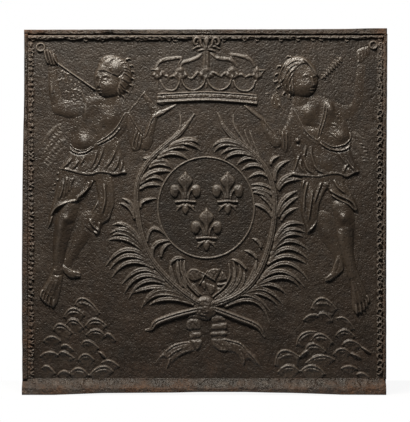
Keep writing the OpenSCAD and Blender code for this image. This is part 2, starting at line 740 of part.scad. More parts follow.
module top_frieze() color(IRON_LIGHT) on_face() below() {
    translate([-panel_w / 2 + left_band_w, panel_h - top_band_w])
        rotate(-90)
            frieze(panel_w - left_band_w - right_band_w, top_frieze_w);
    finial();
    trumpet(LEFT);
    trumpet(RIGHT);
}

// ---- Medallion -----------------------------------------------------------

module oval(grow)
    translate(at(RING_CENTRE))
        scale([RING_HALF[0] * col_pitch + grow, RING_HALF[1] * row_pitch + grow]) circle(1, $fn = 56);

module ring()
    linear_extrude(ring_h, convexity = 4)
        difference() {
            oval(ring_w / 2);
            oval(-ring_w / 2);
        }

module lily(i) color(IRON_LIGHT) on_face() sprig(LILY_CHAINS, LILY_CENTRES[i], 1, lily_h);

module medallion_ring() color(IRON_LIGHT) on_face() below() {
    ring();
    ribs();
}

module left_lily() lily(0);
module right_lily() lily(1);
module lower_lily() lily(2);

// ---- Crown ---------------------------------------------------------------

module circlet() hull() {
    linear_extrude(0.5) polygon(places(CIRCLET));
    linear_extrude(circlet_h) offset(delta = -4) polygon(places(CIRCLET));
}

module flowers() {
    for (f = CROWN_FLOWERS)
        sprig(FLOWER_CHAINS, f, f[2], flower_h);
    for (p = CROWN_POINTS)
        strokes([[p + [-9, 6], p + [0, -8], p + [9, 6]]], bow_w, 0.7 * flower_h, 1, 1, 4);
}

module finial() intersection() {
    chains(FINIAL_CHAINS, circlet_h);
    translate([-panel_w / 2, 0]) cube([panel_w, panel_h - top_band_w, clear_h]);
}

module crown_circlet() color(IRON_LIGHT) on_face() circlet();

module crown_flowers() color(IRON_LIGHT) on_face() below() {
    flowers();
    circlet();
}

module crown_arches() color(IRON) on_face() below() {
    strokes(CROWN_ARCHES, arch_w, arch_h, 0.9, 0.9, 5);
    flowers();
    finial();
}

module crown_finial() color(IRON_LIGHT) on_face() finial();

// ---- Palms ---------------------------------------------------------------

module knot() chain(KNOT_CHAIN, knot_h);

module ribs() chains(RIBS, rib_h);

module outer_leaves(side) strokes(OUTER_LEAVES[side], leaf_w, leaf_h);

module palm_rib(side) color(IRON_LIGHT) on_face() below() {
    chain(RIBS[side], rib_h);
    knot();
    circlet();
}

module palm_outer_leaves(side) color(IRON) on_face() below() {
    outer_leaves(side);
    ribs();
    crown_arm(side);
    pad(SKIRTS[side], skirt_h);
    pad(TUNICS[side], tunic_h);
}

module palm_inner_leaves(side) color(IRON) on_face() below() {
    strokes(INNER_LEAVES[side], leaf_w, leaf_h);
    ribs();
    ring();
    bow();
}

module palm_stalk(side) color(IRON_LIGHT) on_face() below() {
    chain(STALKS[side], rib_h);
    knot();
    ribs();
}

module left_palm_rib() palm_rib(LEFT);
module left_palm_outer_leaves() palm_outer_leaves(LEFT);
module left_palm_inner_leaves() palm_inner_leaves(LEFT);
module left_palm_stalk() palm_stalk(LEFT);
module right_palm_rib() palm_rib(RIGHT);
module right_palm_outer_leaves() palm_outer_leaves(RIGHT);
module right_palm_inner_leaves() palm_inner_leaves(RIGHT);
module right_palm_stalk() palm_stalk(RIGHT);

// ---- Ribbon --------------------------------------------------------------

module bow() chains(BOW_CHAINS, ribbon_h);

module ribbon_tail(side) color(IRON) on_face() below() {
    cloth(TAILS[side], TAIL_FOLDS[side], ribbon_h, ribbon_edge);
    knot();
    chain(STALKS[side], rib_h);
}

module ribbon_knot() color(IRON_LIGHT) on_face() knot();

module ribbon_bow() color(IRON) on_face() below() {
    bow();
    knot();
    ribs();
}

module left_ribbon_tail() ribbon_tail(LEFT);
module right_ribbon_tail() ribbon_tail(RIGHT);

// ---- Figures -------------------------------------------------------------

module head(side) {
    chain(HEADS[side], head_h);
    strokes([NOSES[side]], finger_w, 0.7 * head_h, 0.7, 0.7);
}

module hair(side) chains(CURLS[side], hair_h);

module crown_arm(side) {
    chain(CROWN_ARMS[side], limb_h);
    chain(SLEEVES[side], limb_h);
    chain(THUMBS[side], limb_h);
}

module trumpet_arm(side) {
    chain(TRUMPET_ARMS[side], limb_h);
    chain(FISTS[side], limb_h);
    strokes(FINGERS[side], 0.85 * finger_w, limb_h, 0.8, 0.7);
}

module trumpet(side) {
    bell = TRUMPET_BELLS[side];
    r = bell[2] * pitch;
    chain(TRUMPET_TUBES[side], trumpet_h);
    translate(at(bell))
        difference() {
            cylinder(r1 = r, r2 = r - pitch, h = trumpet_h, $fn = 20);
            translate([0, 0, trumpet_h / 3]) cylinder(r = r - 2 * pitch, h = trumpet_h, $fn = 20);
        }
}

module front_leg(side) {
    chain(FRONT_LEGS[side], limb_h);
    strokes(TOES[side], finger_w, 0.7 * limb_h, 0.8, 0.7);
}

// The bare half of the chest, with the breast on it
module chest(side) {
    pad(CHESTS[side], chest_h);
    hull() bead(BREASTS[side], chest_h + fold_h);
}

module head_part(side) color(IRON_LIGHT) on_face() below() {
    head(side);
    hair(side);
}

module hair_part(side) color(IRON) on_face() hair(side);

module chest_part(side) color(IRON_LIGHT) on_face() below() {
    chest(side);
    head(side);
    hair(side);
    pad(TUNICS[side], tunic_h);
    trumpet_arm(side);
    crown_arm(side);
}

module tunic_part(side) color(IRON) on_face() below() {
    union() {
        cloth(TUNICS[side], TUNIC_FOLDS[side], tunic_h);
        if (side == RIGHT)
            hull() bead(BROOCH, tunic_h + fold_h);
    }
    crown_arm(side);
}

module skirt_part(side) color(IRON_LIGHT) on_face() below() {
    union() {
        cloth(SKIRTS[side], SKIRT_FOLDS[side], skirt_h);
        if (side == RIGHT)
            hull() bead(SASH_KNOT, skirt_h + fold_h);
    }
    pad(TUNICS[side], tunic_h);
}

module front_leg_part(side) color(IRON_LIGHT) on_face() below() {
    front_leg(side);
    pad(SKIRTS[side], skirt_h);
}

module back_leg_part(side) color(IRON) on_face() below() {
    chain(BACK_LEGS[side], limb_h);
    pad(SKIRTS[side], skirt_h);
    front_leg(side);
}

module crown_arm_part(side) color(IRON_LIGHT) on_face() below() {
    crown_arm(side);
    circlet();
}

module trumpet_arm_part(side) color(IRON_LIGHT) on_face() below() {
    trumpet_arm(side);
    head(side);
}

module trumpet_part(side) color(IRON) on_face() below() {
    trumpet(side);
    trumpet_arm(side);
    head(side);
    hair(side);
}

module wing_part(side) color(IRON) on_face() below() {
    strokes(FEATHERS[side], feather_w, wing_h, 0.8, 0.4);
    pad(TUNICS[side], tunic_h);
    pad(CHESTS[side], chest_h);
}

module left_head() head_part(LEFT);
module left_hair() hair_part(LEFT);
module left_chest() chest_part(LEFT);
module left_tunic() tunic_part(LEFT);
module left_skirt() skirt_part(LEFT);
module left_front_leg() front_leg_part(LEFT);
module left_back_leg() back_leg_part(LEFT);
module left_crown_arm() crown_arm_part(LEFT);
module left_trumpet_arm() trumpet_arm_part(LEFT);
module left_trumpet() trumpet_part(LEFT);
module left_wing() wing_part(LEFT);
module right_head() head_part(RIGHT);
module right_hair() hair_part(RIGHT);
module right_chest() chest_part(RIGHT);
module right_tunic() tunic_part(RIGHT);
module right_skirt() skirt_part(RIGHT);
module right_front_leg() front_leg_part(RIGHT);
module right_back_leg() back_leg_part(RIGHT);
module right_crown_arm() crown_arm_part(RIGHT);
module right_trumpet_arm() trumpet_arm_part(RIGHT);
module right_trumpet() trumpet_part(RIGHT);
module right_wing() wing_part(RIGHT);

// ---- Clouds --------------------------------------------------------------

// A rounded scale of cloud: a crest along its arch, falling towards the middle below
module puff(a, crest, b) {
    rim = bend(at(a), at(crest), at(b), 4);
    foot = (at(a) + at(b)) / 2 - [0, 2 * pitch];
    hull() {
        for (p = rim)
            translate(p) cylinder(r1 = 0.7 * pitch, r2 = 0.4, h = cloud_h, $fn = 4);
        translate(foot) cylinder(r = pitch, h = 0.3 * cloud_h, $fn = 4);
    }
}

module clouds(side) color(IRON) on_face() difference() {
    for (c = CLOUDS[side])
        puff(c[0], c[1], c[2]);
    over() front_leg(side);
    translate([-panel_w / 2, 0, -1]) cube([panel_w, ledge_h, clear_h]);
}

module left_clouds() clouds(LEFT);
module right_clouds() clouds(RIGHT);

back_plate();
left_band();
right_band();
top_band();
base_ledge();
left_frieze();
right_frieze();
top_frieze();
medallion_ring();
left_lily();
right_lily();
lower_lily();
crown_circlet();
crown_flowers();
crown_arches();
crown_finial();
left_palm_rib();
left_palm_outer_leaves();
left_palm_inner_leaves();
right_palm_rib();
right_palm_outer_leaves();
right_palm_inner_leaves();
left_palm_stalk();
right_palm_stalk();
ribbon_knot();
ribbon_bow();
left_ribbon_tail();
right_ribbon_tail();
left_head();
left_hair();
left_chest();
left_tunic();
left_skirt();
left_front_leg();
left_back_leg();
left_crown_arm();
left_trumpet_arm();
left_trumpet();
left_wing();
right_head();
right_hair();
right_chest();
right_tunic();
right_skirt();
right_front_leg();
right_back_leg();
right_crown_arm();
right_trumpet_arm();
right_trumpet();
right_wing();
left_clouds();
right_clouds();
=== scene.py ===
import math

import bpy
import mathutils
import numpy as np
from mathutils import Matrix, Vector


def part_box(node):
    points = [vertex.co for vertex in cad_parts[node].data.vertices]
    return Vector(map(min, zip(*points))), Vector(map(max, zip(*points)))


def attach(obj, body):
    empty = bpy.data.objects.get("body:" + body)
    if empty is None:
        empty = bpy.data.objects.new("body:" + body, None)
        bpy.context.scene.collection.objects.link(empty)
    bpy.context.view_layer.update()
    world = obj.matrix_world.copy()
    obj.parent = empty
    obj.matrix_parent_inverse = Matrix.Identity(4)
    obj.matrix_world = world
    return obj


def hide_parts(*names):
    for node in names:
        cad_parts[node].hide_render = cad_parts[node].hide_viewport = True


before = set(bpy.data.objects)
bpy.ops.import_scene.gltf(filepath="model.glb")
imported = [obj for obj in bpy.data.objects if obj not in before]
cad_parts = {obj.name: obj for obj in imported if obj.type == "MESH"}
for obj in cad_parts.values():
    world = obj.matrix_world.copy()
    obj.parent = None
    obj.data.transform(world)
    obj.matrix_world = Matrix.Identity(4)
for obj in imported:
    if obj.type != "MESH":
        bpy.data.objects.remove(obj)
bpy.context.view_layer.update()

# ---- The frame, and the squared sheet that the relief is laid out on ------

MM = 0.001
panel_lo, panel_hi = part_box("back_plate")
field_x0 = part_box("left_frieze")[1].x
field_x1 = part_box("right_frieze")[0].x
field_z0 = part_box("base_ledge")[1].z
field_z1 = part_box("top_frieze")[0].z
FACE_Y = panel_lo.y
BACK_Y = panel_hi.y
FRONT_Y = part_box("base_ledge")[0].y
LEDGE_TOP = field_z0
BAND_H = (FACE_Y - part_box("left_band")[0].y) / MM

# The field covers these columns and rows of the sheet
COL_0, COL_1 = 34.6, 375.6
ROW_0, ROW_1 = 43.1, 378.1
COL_PITCH = (field_x1 - field_x0) / (COL_1 - COL_0)
ROW_PITCH = (field_z1 - field_z0) / (ROW_1 - ROW_0)


def sheet_x(col):
    return field_x0 + (col - COL_0) * COL_PITCH


def sheet_z(row):
    return field_z0 + (ROW_1 - row) * ROW_PITCH


def sheet_col(x):
    return COL_0 + (x - field_x0) / COL_PITCH


def sheet_row(z):
    return ROW_1 - (z - field_z0) / ROW_PITCH


PLATE_LEFT, PLATE_RIGHT = sheet_col(panel_lo.x), sheet_col(panel_hi.x)
PLATE_TOP, PLATE_FOOT = sheet_row(panel_hi.z), sheet_row(panel_lo.z)
BAND_IN_LEFT = sheet_col(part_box("left_band")[1].x)
BAND_IN_RIGHT = sheet_col(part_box("right_band")[0].x)
BAND_IN_TOP = sheet_row(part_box("top_band")[0].z)

# ---- Forms on the sheet, as [column, row] or [column, row, radius] --------------

# Lists of two hold the left form and the right one
LEFT = 0
RIGHT = 1

# The oval medallion, and the middles of its lilies
RING_CENTRE = [206.1, 207.6]
RING_HALF = [48, 50]
LILY_CENTRES = [[185.4, 193], [227.8, 193], [206.5, 229.5]]

# The ribs of the two palms, as chains of [column, row, radius] from the knot up
RIBS = [
    [
        [204, 303.4, 2.8], [195, 300.5, 3], [177, 287.5, 2.8], [162, 272.5, 2.6],
        [150.5, 257.5, 2.5], [142, 237, 2.3], [137.5, 214, 2.2], [136, 192, 2.1], [140.5, 174, 2.2],
        [151, 158.5, 2.4], [166, 144.5, 2.3], [181, 132, 2], [194, 114.5, 0.9],
    ],
    [
        [208, 303.8, 2.8], [216, 303.5, 3], [236, 295.5, 2.8], [251, 283.5, 2.7], [260.5, 269, 2.6],
        [268, 249.5, 2.4], [273, 228, 2.3], [275, 205, 2.2], [273, 187, 2.2], [266, 169, 2.3],
        [252, 153, 2.4], [236.5, 140, 2.3], [225, 128, 1.9], [218, 113.5, 0.9],
    ],
]

# Palm leaves, each as [root, middle, tip]
OUTER_LEAVES = [
    [
        [[146, 250], [129, 227], [112.5, 225]],
        [[147.5, 253], [128.5, 231], [110.5, 233]],
        [[149, 256], [129, 235.5], [111.5, 235.8]],
        [[150, 259], [129.5, 240.5], [108.5, 240]],
        [[150.5, 261], [126.5, 249.5], [105.5, 266]],
        [[151.5, 264.5], [127.5, 255.5], [109.5, 269.5]],
        [[153, 268], [129.5, 262], [112, 277]],
        [[162, 278], [141.5, 269.5], [122, 284]],
        [[164, 280.5], [140.5, 275.8], [124.5, 293]],
        [[174, 289], [147, 280.5], [128.3, 299]],
        [[178, 291], [154, 287], [131, 294]],
        [[187, 297.5], [159, 289.5], [141.5, 308]],
        [[190, 300.5], [161, 293.5], [144.5, 305]],
        [[193, 304], [168, 298.6], [149.5, 304.8]],
        [[134, 218], [128.5, 207], [119, 203.5]],
        [[134, 213], [130.5, 203], [122, 198.5]],
        [[151, 156.5], [146.5, 157.8], [142.5, 158]],
        [[162, 149], [174, 135.6], [186, 121.6]],
        [[178.4, 131], [180.6, 122], [179.6, 113]]
    ],
    [
        [[258, 157], [244.4, 141.6], [236.4, 126]],
        [[261.6, 161], [250, 144], [244.6, 129.6]],
        [[262.4, 162], [254.6, 144.6], [249.6, 130]],
        [[239.6, 135], [234.2, 124.6], [233.6, 114]],
        [[271, 164], [273, 158.6], [280, 156]],
        [[275, 180], [278, 167], [290, 160.5]],
        [[278, 187.5], [283.5, 178.5], [297, 172]],
        [[279, 189], [287.5, 180.5], [302, 179.8]],
        [[277.5, 213], [284, 199], [297.5, 191]],
        [[279, 216], [286.5, 204.5], [298.5, 197]],
        [[281.5, 220], [288, 211.5], [298.5, 208]],
        [[275, 240], [287, 224.2], [304, 224.5]],
        [[274.5, 245], [287, 229.8], [305.5, 232.5]],
        [[273.5, 249], [287, 234.6], [303, 236.5]],
        [[271, 254], [288.5, 240.6], [308.5, 249.8]],
        [[270, 259.5], [288, 248], [308, 259]],
        [[268.5, 263.5], [287, 255.6], [306, 263.5]],
        [[261, 277.5], [286, 262.8], [309, 281]],
        [[257.5, 282.5], [281.5, 270.8], [304.5, 287]],
        [[254, 287], [283, 276.8], [300.5, 289]],
        [[250, 290], [270, 284.2], [286, 294]],
        [[247, 292], [266, 289.8], [283, 304.5]],
        [[244, 295], [262, 293.5], [277.5, 305]],
        [[223, 303.5], [248.5, 294.6], [270.5, 312]],
        [[226, 306], [254.5, 301], [269.5, 323]]
    ]
]
INNER_LEAVES = [
    [
        [[147, 241], [153.5, 228.2], [167, 237]],
        [[152.5, 259], [155, 244.5], [170, 240.5]],
        [[161, 256], [163.5, 247.5], [170.5, 243.5]],
        [[177, 286], [171.8, 274], [170.5, 263]],
        [[170.5, 263.5], [176.5, 258], [185, 259]],
        [[182, 286], [178, 273], [178, 261]],
        [[186, 290], [184, 274], [184.5, 261]],
        [[171, 144.5], [189, 139.2], [199.5, 144.5]],
        [[170, 146.5], [187, 142.8], [201, 151]],
        [[160, 154], [176, 146.8], [188.5, 150]],
        [[158.5, 157.5], [174, 153], [188.5, 160]],
        [[151.5, 163.5], [162.5, 159.8], [171, 166.5]],
        [[150, 166.5], [161.5, 163.4], [172, 168.5]],
        [[141.5, 180], [154.5, 171], [172, 171.8]],
        [[140.5, 183.5], [153, 176.5], [163.5, 181.5]],
        [[140, 188.5], [150.5, 184], [161, 186]],
        [[140.5, 207], [144, 200.5], [156.5, 198.5]]
    ],
    [
        [[246, 147.5], [227, 140.2], [213, 146.5]],
        [[246, 149.5], [226, 144], [214.5, 152]],
        [[252.5, 153.5], [235.5, 147.5], [221, 154.5]],
        [[255, 157], [237, 152.5], [224.5, 160]],
        [[259, 160.5], [247, 157.6], [237, 165]],
        [[264, 168], [252.5, 164.6], [241.5, 170.5]],
        [[269, 178], [259.5, 173], [248, 178.5]],
        [[272.5, 189.5], [262.5, 184.5], [251, 185]],
        [[273, 195], [262, 189.2], [251, 189]],
        [[273, 203.5], [264, 194], [253, 192.5]],
        [[272.5, 217], [264.5, 207.5], [253.5, 204.5]],
        [[272, 208.5], [267, 200.5], [259.5, 196]],
        [[261, 247], [257.8, 241], [252, 238.5]],
        [[256.5, 258], [251.5, 252.6], [244.5, 250.5]],
        [[239, 294], [252, 276], [256.5, 259]],
        [[246, 268.5], [238.5, 261.5], [231, 259.5]],
        [[217.5, 297.5], [232, 284], [233.5, 268]],
        [[219, 300], [237.5, 282.5], [239.5, 266]],
        [[223, 301.5], [240.5, 286.5], [244, 271]]
    ]
]

# The cut stalks below the knot
STALKS = [
    [[200, 309, 2.4], [176, 315, 2.7], [156.5, 322.2, 2.6], [151.5, 328.6, 1.3], [145.5, 330, 0.8]],
    [[212, 308, 2.4], [237, 317.5, 2.7], [257.5, 326, 2.5], [264.5, 337, 0.8]]
]

# The skirts, as outlines
SKIRTS = [
    [
        [63, 164], [110, 166], [112.5, 177], [114.6, 190], [114.6, 203], [112, 212], [109, 221],
        [104, 224.5], [101, 231], [97, 236], [92, 231], [87, 222.3], [92.5, 209], [97.5, 198],
        [96.2, 190], [94, 182.5], [90, 191], [82, 200], [72, 205], [62, 209], [55, 214.5],
        [51.5, 223], [46, 231.5], [49, 214], [54, 196], [57, 183],
    ],
    [
        [304.5, 168], [341, 167], [345, 178.5], [346.4, 184], [349.8, 189.4], [353.2, 195],
        [357, 204], [358.5, 213.6], [351, 210], [344, 206.2], [336, 201.8], [331, 196.4],
        [328.4, 190], [325, 193.5], [320.6, 203], [319, 213], [317, 223], [312, 230.6],
        [307.5, 235.4], [304.6, 226], [301.5, 215], [300.5, 205], [301.5, 192],
    ],
]

# The feathers, each as [root, middle, tip]
FEATHERS = [
    [
        [[64, 140], [54, 150], [44, 164]],
        [[61, 133], [52, 142], [44, 153]],
        [[60, 125], [51, 132], [43, 142]],
        [[64, 148], [57, 156], [48, 166]]
    ],
    [
        [[353, 140], [363, 152], [371, 166]],
        [[354, 132], [364, 142], [372, 154]],
        [[352, 150], [360, 161], [366, 174]]
    ]
]

# Clouds: each puff is an arch [left end, crest, right end]
CLOUDS = [
    [
        [[74.5, 305], [84.5, 298.6], [99.5, 313]],
        [[63.5, 317], [72.5, 308.4], [84, 315.5]],
        [[66, 324], [74, 319.6], [83.5, 328]],
        [[53.2, 330], [60.5, 324], [72, 333]],
        [[85, 326], [95, 319], [106.5, 326]],
        [[86, 335], [96, 330], [105.5, 336.5]],
        [[105.5, 335], [109.5, 334], [115.5, 340.5]],
        [[43, 341], [51.5, 336.6], [60.5, 341]],
        [[81.5, 345], [87.5, 340.8], [98.5, 348]],
        [[61, 346.5], [66.5, 345], [73, 350.5]],
        [[40, 356], [49, 352], [58, 355]],
        [[59, 353.5], [64, 352], [74, 358]],
        [[78, 360], [85, 354.2], [94, 359.8]],
        [[98.5, 352], [102, 353.4], [105.5, 357.5]],
        [[101.5, 363], [109.5, 360.6], [119, 366.5]],
        [[89, 375.5], [101.5, 366.4], [113, 371.5]],
        [[57.5, 375], [63.5, 371], [70, 374]],
        [[69, 374], [78.5, 368.2], [88, 375]],
        [[42, 368], [47.5, 366.2], [55, 373.5]]
    ],
    [
        [[311.5, 308], [322.5, 298], [337, 309.5]],
        [[303.5, 320], [310.5, 315], [318, 316]],
        [[318, 315.5], [325, 313.6], [332.5, 321]],
        [[337, 318.4], [345.5, 318.6], [354.5, 329]],
        [[296.5, 345], [303, 333.6], [317, 332]],
        [[311, 341], [320.5, 334], [333, 342.5]],
        [[336, 335.5], [344.5, 330], [355, 336.5]],
        [[305.5, 350.5], [313, 343.8], [326, 351]],
        [[342.5, 345], [351, 340.8], [361.5, 346]],
        [[361.5, 347], [366, 349.5], [371, 353]],
        [[275, 365], [282.5, 350.5], [300, 357]],
        [[300, 357], [304, 352.5], [309, 350.5]],
        [[333.5, 354.5], [341.5, 348.6], [351, 353.5]],
        [[350, 353.5], [355.5, 354.6], [361, 358]],
        [[306, 363], [320, 355.8], [334.5, 359.5]],
        [[278, 372], [288.5, 365.6], [299.5, 371]],
        [[301, 371], [313, 365.6], [325.5, 374]],
        [[341.5, 368.5], [349.5, 366], [357.5, 369]],
        [[357, 374.5], [362.5, 373], [369.5, 377.5]]
    ]
]


# ---- Painting relief on the sheet -----------------------------------------

# Heights are millimetres above the face of the plate
NOTHING = -2.4  # where nothing is painted
KEEP_ABOVE = -0.9  # lower places are left out of the mesh
DIP = -1.2  # the lowest place of a mesh inside its rim
RIM = -1.8  # the rim of a mesh, sunk in the plate
FALL = 2.5  # how steeply a form falls away past its edge, a column
TALL = 1.35  # how much taller the forms are made than they are painted
LIMB_WIDER = 1.1  # how much wider a limb is than its beads
LIMB_BLEND = 1.0  # how softly it joins what it lies on

# The noise reaches a little past the sheet on all sides
NOISE_MARGIN = 25
NOISE_REACH = 480
LATTICES = {}


def noise(X, Y, cell, seed):
    """Smooth noise from -1 to 1 on the sheet, with swells about cell columns wide."""
    if (cell, seed) not in LATTICES:
        n = int(NOISE_REACH / cell) + 4
        LATTICES[cell, seed] = np.random.default_rng(seed).uniform(-1, 1, (n, n))
    grid = LATTICES[cell, seed]
    u, v = (np.asarray(X) + NOISE_MARGIN) / cell, (np.asarray(Y) + NOISE_MARGIN) / cell
    i, j = np.floor(u).astype(int), np.floor(v).astype(int)
    u, v = u - i, v - j
    i, j = i % (len(grid) - 1), j % (len(grid) - 1)
    u, v = u * u * (3 - 2 * u), v * v * (3 - 2 * v)
    top = grid[j, i] * (1 - u) + grid[j, i + 1] * u
    low = grid[j + 1, i] * (1 - u) + grid[j + 1, i + 1] * u
    return top * (1 - v) + low * v


def swell(X, Y):
    """The casting's own unevenness, in millimetres, which plate and relief share."""
    return 0.5 * noise(X, Y, 53, 11) + 0.3 * noise(X, Y, 21, 12) + 0.14 * noise(X, Y, 9, 13)


def sand(X, Y):
    """The rough skin that moulding sand leaves, in millimetres."""
    fine = 0.4 * noise(X * 1.25, Y * 0.85, 1.7, 51) + 0.26 * noise(X * 1.2, Y * 0.8, 2.9, 52)
    return fine + 0.14 * noise(X, Y, 5.6, 54)


def curve(points, steps, closed=False):
    """A smooth line through the points, and the share of the way along at each."""
    p = np.array([q[:2] for q in points], float)
    n = len(p)
    if n < 3 and not closed:
        t = np.linspace(0, n - 1, (n - 1) * steps + 1)
        return np.stack([np.interp(t, range(n), p[:, k]) for k in (0, 1)], 1), t
    if closed:
        q = np.vstack([p[-1], p, p[0], p[1]])
        spans = n
    else:
        q = np.vstack([2 * p[0] - p[1], p, 2 * p[-1] - p[-2]])
        spans = n - 1
    out, where = [], []
    for i in range(spans):
        a, b, c, d = q[i : i + 4]
        for k in range(steps):
            t = k / steps
            bow, twist = 2 * a - 5 * b + 4 * c - d, 3 * b - a - 3 * c + d
            out.append(0.5 * (2 * b + (c - a) * t + bow * t * t + twist * t**3))
            where.append(i + t)
    if not closed:
        out.append(p[-1])
        where.append(n - 1)
    return np.array(out), np.array(where)


def taper(first, last, n):
    """Widths along a stroke that is full in its middle and drawn in at its ends."""
    t = np.linspace(0, 1, n)
    u = 1 - 2 * t
    return np.where(t < 0.5, 1 - (1 - first) * u * u, 1 - (1 - last) * u * u)


class Relief:
    """A window of the sheet that holds the relief of one piece."""

    def __init__(self, col_0, row_0, col_1, row_1, step=0.5):
        self.step = step
        self.cols = col_0 + np.arange(int(round((col_1 - col_0) / step)) + 1) * step
        self.rows = row_0 + np.arange(int(round((row_1 - row_0) / step)) + 1) * step
        self.X, self.Y = np.meshgrid(self.cols, self.rows)
        self.h = np.full(self.X.shape, NOTHING)

    def part(self, points, reach):
        """The part of the window that lies within reach of the points."""
        lo, hi = np.min(points, 0) - reach, np.max(points, 0) + reach
        i0, i1 = np.searchsorted(self.cols, [lo[0], hi[0]])
        j0, j1 = np.searchsorted(self.rows, [lo[1], hi[1]])
        return slice(j0, j1), slice(i0, i1)

    def along(self, points, where, reach):
        """For the cells near a line: distance to it, place along it, side of it and its lean."""
        window = self.part(points, reach)
        X, Y = self.X[window], self.Y[window]
        best = np.full(X.shape, 1e9)
        place, side, lean = np.zeros(X.shape), np.ones(X.shape), np.zeros(X.shape)
        for k in range(len(points) - 1):
            a, d = points[k], points[k + 1] - points[k]
            length = math.hypot(*d)
            if length < 1e-6:
                continue
            t = np.clip(((X - a[0]) * d[0] + (Y - a[1]) * d[1]) / length**2, 0, 1)
            dx, dy = X - a[0] - t * d[0], Y - a[1] - t * d[1]
            gap = dx * dx + dy * dy
            nearer = gap < best
            best = np.where(nearer, gap, best)
            place = np.where(nearer, where[k] + t * (where[k + 1] - where[k]), place)
            side = np.where(nearer, np.sign(d[0] * dy - d[1] * dx), side)
            lean = np.where(nearer, (d[0] - 0.35 * d[1]) / length, lean)
        return window, np.sqrt(best), place, side, lean

    def lay(self, window, value, blend=0.0):
        """Keeps the higher of what is there and value, with a soft join where blend is set."""
        old = self.h[window]
        new = np.maximum(old, value)
        if blend:
            close = np.clip(blend - np.abs(old - value), 0, None) / blend
            new = new + np.where(np.minimum(old, value) > -1, close * close * blend / 4, 0)
        self.h[window] = new

    def stroke(self, path, w, h, skew=0.0, power=0.55, blend=0.0, steps=6):
        """A rounded ridge along a path; half width w (columns) and height h: a number or a list."""
        points, where = curve(path, steps)
        last = where[-1]
        w, h = np.atleast_1d(w).astype(float), np.atleast_1d(h).astype(float)
        window, gap, place, side, lean = self.along(points, where, w.max() + 1.5)
        if not gap.size:
            return
        W = np.interp(place, np.linspace(0, last, len(w)), w)
        H = np.interp(place, np.linspace(0, last, len(h)), h)
        u = gap / W * side
        crest = skew * lean
        v = np.where(u < crest, (crest - u) / (1 + crest), (u - crest) / (1 - crest))
        v = np.where(gap < W, np.clip(v, 0, 1), 1)
        self.lay(window, np.where(gap < W, H * (1 - v * v) ** power, -(gap - W) * FALL), blend)

    def strokes(self, paths, w, h, **more):
        for p in paths:
            self.stroke(p, w, h, **more)

    def limb(self, beads, h, power, skew=0.0):
        """A round limb through beads of [column, row, radius]."""
        wide = [b[2] * LIMB_WIDER for b in beads]
        self.stroke(beads, wide, h, skew=skew, power=power, blend=LIMB_BLEND)

    def add(self, path, w, h, skew=0.0, soft=1.0, ends=0.25, steps=6):
        """Raises, or sinks where h is below 0, a soft line on the form that is there."""
        points, where = curve(path, steps)
        w = np.atleast_1d(w).astype(float)
        window, gap, place, side, lean = self.along(points, where, 2.2 * w.max())
        if not gap.size:
            return
        last = where[-1]
        W = np.interp(place, np.linspace(0, last, len(w)), w)
        u = gap / W * side
        W = np.where(u * np.sign(lean) * skew > 0, 1 - abs(skew), 1)
        v = np.abs(u) / W
        t = place / last
        fade = np.clip(np.minimum(t, 1 - t) / ends, 0, 1) if ends else 1
        old = self.h[window]
        self.h[window] = old + h * np.exp(-(v**2) * 1.6) * fade * np.clip(old / soft, 0, 1)

    def adds(self, paths, w, h, **more):
        for p in paths:
            self.add(p, w, h, **more)

    def dome(self, centre, rx, ry, h, turn=0.0, power=0.5, blend=0.0, foot=0.0):
        """A rounded boss, turned by degrees."""
        window = self.part([centre[:2]], max(rx, ry) + 1.5)
        dx, dy = self.X[window] - centre[0], self.Y[window] - centre[1]
        c, s = math.cos(math.radians(turn)), math.sin(math.radians(turn))
        r = np.hypot((dx * c + dy * s) / rx, (dy * c - dx * s) / ry)
        inside = foot + (h - foot) * np.clip(1 - r * r, 0, 1) ** power
        self.lay(window, np.where(r < 1, inside, -(r - 1) * min(rx, ry) * FALL), blend)

    def swelling(self, centre, rx, ry, h, turn=0.0):
        """Raises or sinks the form softly about a centre."""
        window = self.part([centre[:2]], 2.4 * max(rx, ry))
        dx, dy = self.X[window] - centre[0], self.Y[window] - centre[1]
        c, s = math.cos(math.radians(turn)), math.sin(math.radians(turn))
        r2 = ((dx * c + dy * s) / rx) ** 2 + ((dy * c - dx * s) / ry) ** 2
        self.h[window] += h * np.exp(-r2) * np.clip(self.h[window], 0, 1)

    def swellings(self, forms, scale=1.0):
        """Swellings, each as (centre, half width, half height, height, turn)."""
        for centre, rx, ry, h, turn in forms:
            self.swelling(centre, rx, ry, scale * h, turn=turn)

    def inside(self, outline, smooth):
        """For the cells near an outline: how far inside it they lie, below 0 outside."""
        points = curve(outline, smooth, closed=True)[0] if smooth else np.array(outline, float)
        window = self.part(points, 2)
        X, Y = self.X[window], self.Y[window]
        best = np.full(X.shape, 1e9)
        odd = np.zeros(X.shape, bool)
        for a, b in zip(points, np.roll(points, -1, 0)):
            d = b - a
            t = np.clip(((X - a[0]) * d[0] + (Y - a[1]) * d[1]) / max(d @ d, 1e-9), 0, 1)
            best = np.minimum(best, (X - a[0] - t * d[0]) ** 2 + (Y - a[1] - t * d[1]) ** 2)
            if a[1] != b[1]:
                crossing = (b[0] - a[0]) * (Y - a[1]) / (b[1] - a[1]) + a[0]
                odd ^= ((a[1] > Y) != (b[1] > Y)) & (X < crossing)
        gap = np.sqrt(best)
        return window, np.where(odd, gap, -gap)

    def pad(self, outline, h, edge, crown=0.0, smooth=4, blend=0.0):
        """A cushion inside an outline: up to h over the edge's width, crown more in its middle."""
        window, deep = self.inside(outline, smooth)
        t = np.clip(deep / edge, 0, 1)
        rise = h * np.sqrt(1 - (1 - t) ** 2)
        rise = rise + crown * np.clip(deep / max(deep.max(), 1e-6), 0, 1)
        self.lay(window, np.where(deep > 0, rise, deep * FALL), blend)

